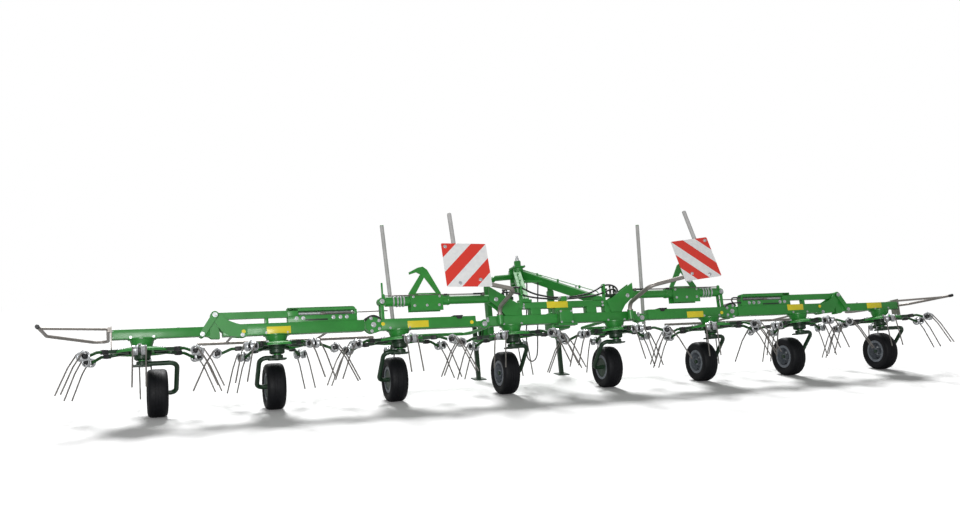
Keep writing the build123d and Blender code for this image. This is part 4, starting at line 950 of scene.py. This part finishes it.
class TEDDER_OT_beams(bpy.types.Operator):
    """Build the beams, hinge plates and pots with their rounded edges."""

    bl_idname = "tedder.beams"
    bl_label = "Beams"

    WING = [(500, 39), (618, 39), (665, 105), (768, 190), (766, 324), (500, 163), (470, 143)]
    # The plates of arm B and arm C at the outer hinge, from its pin
    CURVED_PLATE = [
        (-265, -185), (-240, -195), (-185, -193), (-129, -185), (-90, -170), (-53, -142), (-25, -105), (0, -68),
        (12, -33), (25, 25), (-53, 2), (-85, -35), (-125, -57), (-175, -77), (-215, -89), (-265, -89),
    ]
    OUTER_PLATE = [
        (20, 28), (60, -75), (90, -98), (135, -98), (135, -172), (60, -178), (30, -198), (-38, -201), (-36, -150),
        (-15, -60), (-28, -15),
    ]
    # Middle and width of the webs between the two tubes of the centre frame
    WEBS = [(0, 180), (-297, 105), (297, 105), (-495, 110), (495, 110)]

    def centre_half(self, shape):
        """What the centre frame has on each side: hinge lugs, wing plates, pot, sockets and brackets."""
        add_plates(shape, arc(HINGE_A, 42, -100, 100) + [(776, 8), (776, -50)], 38, 50)
        add_plates(shape, self.WING, 42, 54)
        add_pot(shape, 550, -50)
        add_lathe(shape, [(21.5, -45), (30, -45), (30, 40), (21.5, 40)], Matrix.Translation((*SOCKET, 0)), 24,
                  closed=True)
        add_box(shape, (682, -64, -43), (698, -48, 38), 1)
        add_box(shape, (424.5, -46, 133), (459.5, -36, 313), 2)
        add_box(shape, (598, -44, 183), (632, 44, 205), 2)

    def arm_a(self, shape):
        add_box(shape, (915, -50, -50), (1816, 50, 50), 6)
        add_pin(shape, *HINGE_A, 39, 37)
        add_pin(shape, *HINGE_A, 16, 54)
        add_box(shape, (HINGE_A[0], -37, -48), (920, 37, 0), 2)
        add_plates(shape, arc(HINGE_B, 72, -90, 90, 16) + [(1814, 50), (1814, -50)], 38, 50)
        add_pot(shape, INNER_ROTOR, -50)
        for y0, y1 in ((26, 38), (-38, -26)):
            add_box(shape, (EYE_X - 16, y0, 46), (EYE_X + 16, y1, CYLINDER_Z), 2)
        add_plates(shape, arc((EYE_X, CYLINDER_Z), 34, 0, 345, 23), 26, 38)
        add_pin(shape, EYE_X, CYLINDER_Z, 16, 44)

    def arm_b(self, shape):
        add_box(shape, (1975, -50, -50), (3205, 50, 50), 6)
        add_pin(shape, *HINGE_B, 68, 37)
        add_pin(shape, *HINGE_B, 16, 54)
        add_box(shape, (HINGE_B[0], -37, -36), (1980, 37, 36), 2)
        add_pot(shape, MIDDLE_ROTOR, -50)
        add_box(shape, (2035, -38, 48), (2650, 38, 108), 3)
        add_plates(shape, [(2042, 148)] + arc((2075, 148), 30, 180, 90, 5) + [(2650, 178), (2650, 148)], 31, 38)
        add_box(shape, (2070, -38, 168), (2650, 38, 178), 2)
        add_box(shape, (2035, -38, 100), (2058, 38, 152), 3)
        add_box(shape, (2558, -38, 100), (2650, 38, 172), 3)
        add_box(shape, (2815, -25, 48), (2845, 25, 97), 1)
        x, z = HINGE_C
        add_plates(shape, [(x + dx, z + dz) for dx, dz in self.CURVED_PLATE], 40, 52)
        add_plates(shape, arc(HINGE_C, 34, 0, 345, 23), 40, 52)
        add_pin(shape, x, z, 16, 57)

    def arm_c(self, shape):
        add_box(shape, (3307, -40, -40), (4084, 40, 40), 6)
        add_pot(shape, OUTER_ROTOR, -40)
        x, z = HINGE_C
        add_plates(shape, [(x + dx, z + dz) for dx, dz in self.OUTER_PLATE], 26, 36)
        add_plates(shape, arc(HINGE_C, 32, 0, 345, 23), 26, 36)
        add_plates(shape, arc((3372, -25), 24, -146, 34) + arc(HINGE_C, 26, 34, 214), 58.5, 64)
        for y0, y1 in ((39, 59), (-59, -39)):
            add_lathe(shape, drum(18, 0, y1 - y0), along_y(3372, y1, -25), 20)

    def headstock(self, shape):
        """The linkage frame: sloping shoulders, legs, ears for the lower links and the stands' sleeves."""
        add_lathe(shape, [(0, 470), (36, 470), (36, 756), (33, 760), (0, 760)], Matrix.Translation((0, 990, 0)), 32)
        for z in (513, 682):
            add_box(shape, (-60, 932, z), (60, 1095, z + 20), 3)
        add_box(shape, (-60, 1075, 437), (60, 1095, 702), 3)
        for side in (-1, 1):
            def block(x0, x1, y0, y1, z0, z1, bevel):
                add_box(shape, (min(side * x0, side * x1), y0, z0), (max(side * x0, side * x1), y1, z1), bevel)

            block(27, 43, 1093, 1125, 608, 692, 2)
            add_lathe(shape, drum(42, -8, 8), along_x(side * 35, 1125, 650), 28)
            block(331, 397, 987, 1053, -75, 437, 12)
            route = [(368, 1020, 420), (368, 1020, 500), (262, 1045, 588), (48, 1080, 606)]
            add_tube(shape, bend([(side * x, y, z) for x, y, z in route], 50), 30, 18)
            for x in (353, 437):
                block(x - 8, x + 8, 1033, 1126, -22, 68, 2)
                add_lathe(shape, drum(45, -8, 8), along_x(side * x, 1126, 23), 28)
            block(364, 445, 1033, 1059, -22, 68, 2)
            block(364, 506, 1023, 1053, -75, -31, 2)
            for x0, x1, y0, y1 in ((454, 459.5, 1045, 1202), (500.5, 506, 1045, 1202), (458, 502, 1196.5, 1202),
                                   (458, 502, 1045, 1155)):
                block(x0, x1, y0, y1, -75, -31, 1)

    def centre_middle(self, shape):
        """The cross beam and top tube of the centre frame, the webs between them and the valve block."""
        add_box(shape, (-780, -50, -50), (780, 50, 40), 6)
        add_box(shape, (-550, -42, 99), (550, 42, 163), 14)
        for middle, width in self.WEBS:
            add_box(shape, (middle - width / 2, -41, 37), (middle + width / 2, 41, 104), 3)
        add_box(shape, (-30, -62, 161), (30, 14, 207), 3)

    def execute(self, context):
        draw_piece("centre_beams", self.centre_middle, "centre", *GREEN, instead="centre_frame")
        both_sides("centre_ends", self.centre_half, "centre", *GREEN)
        for letter, draw in (("a", self.arm_a), ("b", self.arm_b), ("c", self.arm_c)):
            both_sides(f"beam_{letter}", draw, f"arm_{letter}", *GREEN, instead=f"arm_{letter}")
        draw_piece("linkage_frame", self.headstock, "headstock", *GREEN, instead="headstock")
        return {"FINISHED"}


class TEDDER_OT_carriers(bpy.types.Operator):
    """Build the bent tubes that carry the wheels, with their heads and guard discs."""

    bl_idname = "tedder.carriers"
    bl_label = "Wheel carriers"

    # From the left: body, side of the wheel that the tube is on, CAD node
    CARRIERS = [
        ("arm_c_left", 1, "carrier_1"), ("arm_b_left", -1, "carrier_2"), ("arm_a_left", -1, "carrier_3"),
        ("centre", 1, "carriers_4_5"), ("centre", -1, None), ("arm_a_right", 1, "carrier_6"),
        ("arm_b_right", 1, "carrier_7"), ("arm_c_right", 1, "carrier_8"),
    ]
    OUT, BEND, TUBE = 152, 58, 20            # tube's distance from the wheel, radius of its bends and its own radius

    def execute(self, context):
        for number, (body, side, node) in enumerate(self.CARRIERS, start=1):
            rotor_x = SPINS[f"rotor_{number}"]["pos_m"][0] / MM
            wheel_x, y, z = MACHINE.inverted() @ Vector(SPINS[f"wheel_{number}"]["pos_m"])
            shape = bmesh.new()
            add_lathe(shape, [(0, -225.1), (44, -225.1), (50, -231), (50, -262), (44, -268), (0, -268)],
                      Matrix.Translation((rotor_x, 0, 0)), 24)
            add_box(shape, (rotor_x - 74, -48, -267), (rotor_x + 74, 48, -253), 3)
            out = wheel_x + side * self.OUT
            route = [(rotor_x + side * 10, 0, -246), (out, 0, -246), (out, y, z), (wheel_x + side * 60, y, z)]
            add_tube(shape, bend(route, self.BEND, 8), self.TUBE, 16)
            add_tube(shape, [(wheel_x + side * 61, y, z), (wheel_x - side * 62, y, z)], 12.3, 14)
            for x, radius, half in ((wheel_x - side * 66, 20, 6), (wheel_x + side * 58.5, 92, 2.5)):
                add_lathe(shape, drum(radius, -half, half), along_x(x, y, z), 32)
            # The carriers in the dark green, which is partly painted shade under the machine
            add_shape(f"wheel_carrier_{number}", shape, body, *DARK_AND_SHADE, instead=node)
        return {"FINISHED"}


class TEDDER_OT_arm_fittings(bpy.types.Operator):
    """Build the bolts, pads, mats, caps and rods of the arms."""

    bl_idname = "tedder.arm_fittings"
    bl_label = "Arm fittings"

    def execute(self, context):
        def pad(shape):
            add_box(shape, (1040, -54, 50), (1136, 54, 61), 4)
            outline = [(1046, 55), (1120, 55), (1094, 26), (1058, 26)]
            add_plates(shape, outline, 50, 56)

        def hinge_mat(shape):
            curve = arc(HINGE_B, 73.5, 43, 150) + list(reversed(arc(HINGE_B, 90, 43, 150)))
            add_plate(shape, curve, -52, 52)

        def loop(shape):
            ring = [(1925, -30, 88), (2060, -30, 88), (2060, -30, 142), (1925, -30, 142)]
            middle = [(1992, -30, 88)] + ring[1:] + ring[:1] + [(1991, -30, 88)]
            add_tube(shape, bend(middle, 24), 7.5, 10)

        def tie_rod(shape):
            add_tube(shape, [(1752, -30, 126), (2348, -30, 120)], 5.5, 10)
            add_box(shape, (2318, -37, 110), (2362, -20, 132), 4)

        # A dark strip laid proud of the bar: painted shade of a hollow
        def painted_recess_shade(shape):
            add_box(shape, (2300, -41, 60), (2500, -37, 74), 1)

        def chrome(shape):
            add_tube(shape, [(2070, 0, 127), (2550, 0, 127)], 16, 20)

        def cap(shape):
            add_lathe(shape, [(0, 0), (16.5, 0), (17, -4), (17, -42), (14, -46), (0, -46)],
                      Matrix.Translation((4625, -252, 54)) @ Matrix.Rotation(math.radians(-90), 4, "X"), 16)

        both_sides("hoop_cap", cap, "arm_c", *RUBBER)
        both_sides("beam_pad", pad, "arm_a", *RUBBER)
        both_sides("hinge_mat", hinge_mat, "arm_a", *RUBBER)
        both_sides("bar_loop", loop, "arm_b", *RUBBER, sides=("right",))
        both_sides("tie_rod", tie_rod, "arm_b", *WIRE)
        both_sides("bar_painted_recess_shade", painted_recess_shade, "arm_b", *DARK_AND_SHADE)
        both_sides("bar_rod", chrome, "arm_b", *PLATED)
        for side, sign in SIDES.items():
            for letter, rows in self.bolts().items():
                add_bolts(f"arm_{letter}_bolts_{side}", rows, f"arm_{letter}_{side}", sign)
        return {"FINISHED"}

    def bolts(self):
        """Rows of bolts for each arm, on the front and rear faces."""
        rows = {"a": [], "b": [], "c": []}
        for sign, facing in FACES:
            rear = sign * BEAM_HALF
            rows["a"] += [(HINGE_B[0], sign * 56, HINGE_B[1], facing, 27)]
            rows["a"] += [(x, rear, z, facing, 17) for x, z in ((1914, 58), (1912, -55), (1842, 36), (1842, -36))]
            rows["a"] += [(x, rear, -34, facing, 13) for x in (1560, 1740)]
            rows["b"] += [(HINGE_C[0], sign * 65, HINGE_C[1], facing, 24), (3042, sign * 53, -43, facing, 20)]
            rows["b"] += [(x, sign * 38, 83, facing, 20) for x in (2130, 2187, 2250, 2517, 2575)]
            rows["b"] += [(x, rear, -34, facing, 13) for x in (2660, 2840)]
            rows["c"] += [(3372, sign * 65, -25, facing, 22)]
            rows["c"] += [(x, sign * 40, -26, facing, 13) for x in (3760, 3940)]
        rows["c"] += [(4076, y, z, (1, 0, 0), 14) for y in (-30, 30) for z in (-28, 28)]
        rows["c"] += [(x, 0, 41, (0, 0, 1), 13) for x in (3560, 4020)]
        return rows


class TEDDER_OT_frame_fittings(bpy.types.Operator):
    """Build the bolts, hose fittings, pipes and gear housing of the centre frame, and the headstock's bolts."""

    bl_idname = "tedder.frame_fittings"
    bl_label = "Frame fittings"

    YOKE_START, YOKE_END = Vector((30, 962, 664)), Vector((392, -8, 252))      # of its right-hand upper edge

    def execute(self, context):
        def knobs(shape):
            for x, y, top in ((592, 22, 302), (554, 24, 310), (512, 26, 286)):
                add_lathe(shape, [(0, 0), (11, 0), (11, 34), (7, 38), (7, 62), (10, 64), (10, 78), (0, 82)],
                          Matrix.Translation((x, y, top - 80)), 12)
            add_box(shape, (496, 6, 196), (606, 40, 226), 3)

        def unions(shape):
            for y in (-17, 17):
                add_lathe(shape, [(0, -2), (13, -2), (13, 16), (10.5, 18), (10.5, 32), (0, 32)],
                          Matrix.Translation((615, y, 205)), 6)
            for y, z in ((-50, 198), (-20, 186)):
                add_lathe(shape, [(0, -2), (13, -2), (13, 16), (10.5, 18), (10.5, 30), (0, 30)], along_x(30, y, z), 6)

        def clamp(shape):
            add_box(shape, (431, -74, 222), (453, -46, 316), 5)

        def pipe(shape):
            start, end = self.YOKE_START, self.YOKE_END
            line = [start + (end - start) * share for share in (0.0, 0.33, 0.66, 1.0)]
            add_tube(shape, bend([start + Vector((0, 0, -20))] + line + [(400, -34, 214)], 30), 4.5, 8)
            for share in (0.22, 0.5, 0.78):
                spot = start + (end - start) * share
                add_box(shape, spot - Vector((9, 9, 22)), spot + Vector((9, 9, 10)), 3)

        def wing_boss(shape):
            add_lathe(shape, [(0, -2), (20, -2), (20, 5), (14, 7), (14, 2), (0, 2)], along_y(700, -54, 196), 24)

        def gear_cover(shape):
            add_box(shape, (-88, -120, -63), (52, -46, 66), 11)
            add_box(shape, (-110, -128, -83), (90, -46, -62), 4)
            add_box(shape, (-100, 46, -95), (100, 240, 75), 20)
            add_lathe(shape, drum(48, 0, 42), along_y(0, 280, -15), 32)

        def stub(shape):
            add_lathe(shape, [(0, 0), (15, 0), (17.5, 3), (17.5, 92), (0, 92)], along_y(0, 370, -15), 24)

        def mast_nut(shape):
            add_lathe(shape, [(0, 0), (30, 0), (30, 8), (19, 10), (19, 34), (12, 38), (12, 60), (0, 62)],
                      Matrix.Translation((0, 990, 758)), 20)

        both_sides("hose_unions", unions, "centre", *PLATED, SHARP_FINE)
        both_sides("hose_clamp", clamp, "centre", *GREEN)
        both_sides("yoke_pipe", pipe, "centre", *GREEN)
        both_sides("wing_boss", wing_boss, "centre", *PLATED)
        both_sides("valve_knobs", knobs, "centre", *DARK_AND_SHADE)
        draw_piece("gear_housing", gear_cover, "centre", *GREEN, instead="gearbox")
        draw_piece("drive_stub", stub, "centre", *PLATED)
        draw_piece("mast_nut", mast_nut, "headstock", *PLATED)
        centre = []
        for sign in (-1, 1):
            for face, facing in FACES:
                centre.append((sign * HINGE_A[0], face * 55, HINGE_A[1], facing, 28))
                centre += [(sign * 800, face * 50, z, facing, 16) for z in (-4, 14)]
                centre += [(sign * x, face * 50, -40, facing, 13) for x in (460, 640)]
            centre += [(sign * 57 - 18, -120, z, REARWARDS, 12) for z in (-50, 53)]
            centre += [(sign * 420, -42, z, REARWARDS, 14) for z in (110, 140)]
        for share in (0.2, 0.72):
            spot = self.YOKE_START.lerp(self.YOKE_END, share)
            centre += [(sign * spot.x, spot.y - 24, spot.z - 22, (sign * 0.92, 0.38, 0), 12) for sign in (-1, 1)]
        add_bolts("centre_bolts", centre, "centre")
        head = [(sign * 44, 1125, 650, (sign, 0, 0), 20) for sign in (-1, 1)]
        head += [(sign * 60, 950, 700, (sign, 0, 0), 14) for sign in (-1, 1)]
        add_bolts("headstock_bolts", head, "headstock")
        return {"FINISHED"}


class TEDDER_OT_plates(bpy.types.Operator):
    """Put the blank yellow plates and round dots on the beams."""

    bl_idname = "tedder.plates"
    bl_label = "Plates"

    # For each side the arm, how far its rear face is out, X, Z and the width of a plate, or 0 for a dot
    PLATES = {
        "right": [("arm_a", 50, 1454, -17, 192), ("arm_b", 50, 2694, 18, 203), ("arm_c", 40, 3753, 8, 201),
                  ("arm_a", 50, 1772, -10, 0), ("arm_b", 52.4, 3010, 18, 0)],
        "left": [("arm_a", 50, 1478, -8, 199), ("arm_b", 50, 2734, -13, 206), ("arm_a", 50, 1806, 4, 0),
                 ("arm_b", 52.4, 3032, -16, 0), ("arm_a", 50, 959, -9, 0)],
    }
    HEIGHT = 62                    # of a plate
    DOT = 17                       # radius of a dot

    def execute(self, context):
        for side, sign in SIDES.items():
            for index, (body, face, x, z, width) in enumerate(self.PLATES[side], start=1):
                shape = bmesh.new()
                if width:
                    add_box(shape, (x - width / 2, -face - 1.6, z - self.HEIGHT / 2),
                            (x + width / 2, -face + 0.5, z + self.HEIGHT / 2), 0.7)
                else:
                    add_lathe(shape, drum(self.DOT, -0.5, 1.2), along_y(x, -face, z), 24)
                add_shape(f"plate_{index}_{side}", shape, f"{body}_{side}", *YELLOW, MACHINE @ to_left(sign))
        shape = bmesh.new()
        add_box(shape, (-179, -43.6, 98), (43, -41.4, 161), 0.7)
        add_shape("plate_centre", shape, "centre", *YELLOW)
        return {"FINISHED"}


class TEDDER_OT_cords(bpy.types.Operator):
    """Lay the rope loop and the hydraulic hoses."""

    bl_idname = "tedder.cords"
    bl_label = "Rope and hoses"

    def lay(self, name, route, diameter, material, slot, node, length, stiffness, lie):
        curve = bpy.data.curves.new(name, "CURVE")
        curve.dimensions = "3D"
        spline = curve.splines.new("NURBS")
        spline.points.add(len(route) - 1)
        for point, place in zip(spline.points, route):
            point.co = (*(MACHINE @ Vector(place)), 1)
        spline.order_u = 3
        spline.use_endpoint_u = True
        spline.resolution_u = 10
        curve.bevel_depth = diameter / 2
        curve.bevel_resolution = 5
        curve.use_fill_caps = True
        curve.materials.append(bpy.data.materials[material])
        cord = bpy.data.objects.new(name, curve)
        bpy.context.scene.collection.objects.link(cord)
        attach(cord, "centre")
        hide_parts(node)

    def execute(self, context):
        sizes = context.scene.tedder_cords
        self.lay("rope_loop", ROPE_ROUTE, sizes.rope, "braided rope", "rope", "rope", ROPE_LENGTH, "limp",
                 "hanging")
        for count, (route, length) in enumerate(zip(HOSE_ROUTES, HOSE_LENGTHS), start=1):
            for side, sign in SIDES.items():
                sided = [(sign * x, y, z) for x, y, z in route]
                self.lay(f"hose_{count}_{side}", sided, sizes.hose, "black rubber", "hose_rubber", "hoses",
                         length, "medium", "loose")
        return {"FINISHED"}


class TEDDER_OT_stage(bpy.types.Operator):
    """Build the floor, the light and the camera."""

    bl_idname = "tedder.stage"
    bl_label = "Stage"

    CAMERA_PLACE = (-4.114, -8.817, 1.645)
    CAMERA_DOWN, CAMERA_RIGHT = 2.01, 20.77            # how far it is turned, in degrees
    SENSOR = 36                    # its width in millimetres
    FLOOR_HALF = 60
    FLOOR_SEEN, FLOOR_BOUNCE = (0.9, 0.9, 0.9), (0.38, 0.38, 0.38)
    FADE = (6.5, 13)               # distance from the middle over which the floor turns to plain white
    GLOSS_OF_SKY = 0.35            # share of plain white sky in what shiny surfaces mirror
    KEY_PLACE, KEY_ANGLE = (0.6, 3.6, 4.6), 17         # the angle in degrees
    FRONT_PLACE, FRONT_TARGET, FRONT_SIZE = (-5.5, -11, 3.2), (0, 0, 0.5), 5

    def floor(self):
        mesh = bpy.data.meshes.new("floor")
        half = self.FLOOR_HALF
        mesh.from_pydata([(-half, -half, 0), (half, -half, 0), (half, half, 0), (-half, half, 0)], [], [(0, 1, 2, 3)])
        floor = bpy.data.objects.new("floor", mesh)
        bpy.context.scene.collection.objects.link(floor)
        material = bpy.data.materials.new("pale floor")
        material.use_nodes = True
        tree = material.node_tree
        tree.nodes.clear()
        place = add_node(tree, "ShaderNodeTexCoord").outputs["Object"]
        far = add_node(tree, "ShaderNodeVectorMath", {0: place}, operation="LENGTH")
        fade = spread(tree, far.outputs["Value"], 0, 1, *self.FADE)
        path = add_node(tree, "ShaderNodeLightPath").outputs["Is Camera Ray"]
        seen = add_node(tree, "ShaderNodeMath", {0: fade, 1: path}, operation="MULTIPLY")
        tone = blend_colours(tree, path, self.FLOOR_BOUNCE, self.FLOOR_SEEN)
        paper = add_node(tree, "ShaderNodeBsdfDiffuse", {"Color": tone})
        plain = add_node(tree, "ShaderNodeEmission", {"Color": (1, 1, 1, 1), "Strength": 1})
        mix = add_node(tree, "ShaderNodeMixShader", {0: seen.outputs[0], 1: paper.outputs[0], 2: plain.outputs[0]})
        add_node(tree, "ShaderNodeOutputMaterial", {0: mix.outputs[0]})
        mesh.materials.append(material)

    def sky(self, strength):
        world = bpy.data.worlds.new("pale sky")
        bpy.context.scene.world = world
        world.use_nodes = True
        tree = world.node_tree
        tree.nodes.clear()
        path = add_node(tree, "ShaderNodeLightPath")
        shine = add_node(tree, "ShaderNodeMath", {0: path.outputs["Is Glossy Ray"], 1: self.GLOSS_OF_SKY},
                         operation="MULTIPLY")
        plain = add_node(tree, "ShaderNodeMath", {0: path.outputs["Is Camera Ray"], 1: shine.outputs[0]},
                         operation="MAXIMUM")
        even = add_node(tree, "ShaderNodeBackground", {"Color": (1, 1, 1, 1), "Strength": strength})
        white = add_node(tree, "ShaderNodeBackground", {"Color": (1, 1, 1, 1), "Strength": 1})
        mix = add_node(tree, "ShaderNodeMixShader", {0: plain.outputs[0], 1: even.outputs[0], 2: white.outputs[0]})
        add_node(tree, "ShaderNodeOutputWorld", {0: mix.outputs[0]})

    def lamp(self, name, kind, power, size, place, target):
        """A soft light; size is in metres, or in degrees for the sun."""
        light = bpy.data.lights.new(name, kind)
        light.energy = power
        if kind == "SUN":
            light.angle = math.radians(size)
        else:
            light.size = size
        lamp = bpy.data.objects.new(name, light)
        lamp.location = place
        lamp.rotation_mode = "QUATERNION"
        lamp.rotation_quaternion = (Vector(target) - Vector(place)).to_track_quat("-Z", "Y")
        bpy.context.scene.collection.objects.link(lamp)

    def execute(self, context):
        settings = context.scene.tedder_stage
        context.scene.view_settings.view_transform = "Standard"
        self.floor()
        self.sky(settings.fill)
        self.lamp("key", "SUN", settings.key, self.KEY_ANGLE, self.KEY_PLACE, (0, 0, 0))
        self.lamp("front", "AREA", settings.front, self.FRONT_SIZE, self.FRONT_PLACE, self.FRONT_TARGET)
        camera = bpy.data.cameras.new("camera")
        camera.sensor_width = self.SENSOR
        camera.lens = settings.lens
        holder = bpy.data.objects.new("camera", camera)
        holder.location = self.CAMERA_PLACE
        holder.rotation_euler = Euler((math.radians(90 - self.CAMERA_DOWN), 0, math.radians(-self.CAMERA_RIGHT)))
        bpy.context.scene.collection.objects.link(holder)
        context.scene.camera = holder
        return {"FINISHED"}


SETTINGS = {
    "tedder_paints": TedderPaints, "tedder_rotors": TedderRotors, "tedder_tyres": TedderTyres,
    "tedder_cords": TedderCords, "tedder_stage": TedderStage,
}
OPERATORS = (
    TEDDER_OT_finishes, TEDDER_OT_cords, TEDDER_OT_beams, TEDDER_OT_carriers, TEDDER_OT_rotors, TEDDER_OT_tyres,
    TEDDER_OT_signs, TEDDER_OT_cylinders, TEDDER_OT_arm_fittings, TEDDER_OT_frame_fittings, TEDDER_OT_plates,
    TEDDER_OT_stage,
)


class TEDDER_PT_panel(bpy.types.Panel):
    """Lists the tedder's pieces and their sizes."""

    bl_label = "Hay tedder"
    bl_idname = "TEDDER_PT_panel"
    bl_space_type = "VIEW_3D"
    bl_region_type = "UI"
    bl_category = "Tedder"

    def draw(self, context):
        for name, group in SETTINGS.items():
            box = self.layout.box()
            for setting in group.__annotations__:
                box.prop(getattr(context.scene, name), setting)
        for operator in OPERATORS:
            self.layout.operator(operator.bl_idname)


def register():
    for group in SETTINGS.values():
        bpy.utils.register_class(group)
    for name, group in SETTINGS.items():
        setattr(bpy.types.Scene, name, PointerProperty(type=group))
    for operator in OPERATORS:
        bpy.utils.register_class(operator)
    bpy.utils.register_class(TEDDER_PT_panel)


def unregister():
    bpy.utils.unregister_class(TEDDER_PT_panel)
    for operator in reversed(OPERATORS):
        bpy.utils.unregister_class(operator)
    for name, group in SETTINGS.items():
        delattr(bpy.types.Scene, name)
        bpy.utils.unregister_class(group)


def main():
    register()
    for operator in OPERATORS:
        group, name = operator.bl_idname.split(".")
        getattr(getattr(bpy.ops, group), name)()


if __name__ == "__main__":
    main()
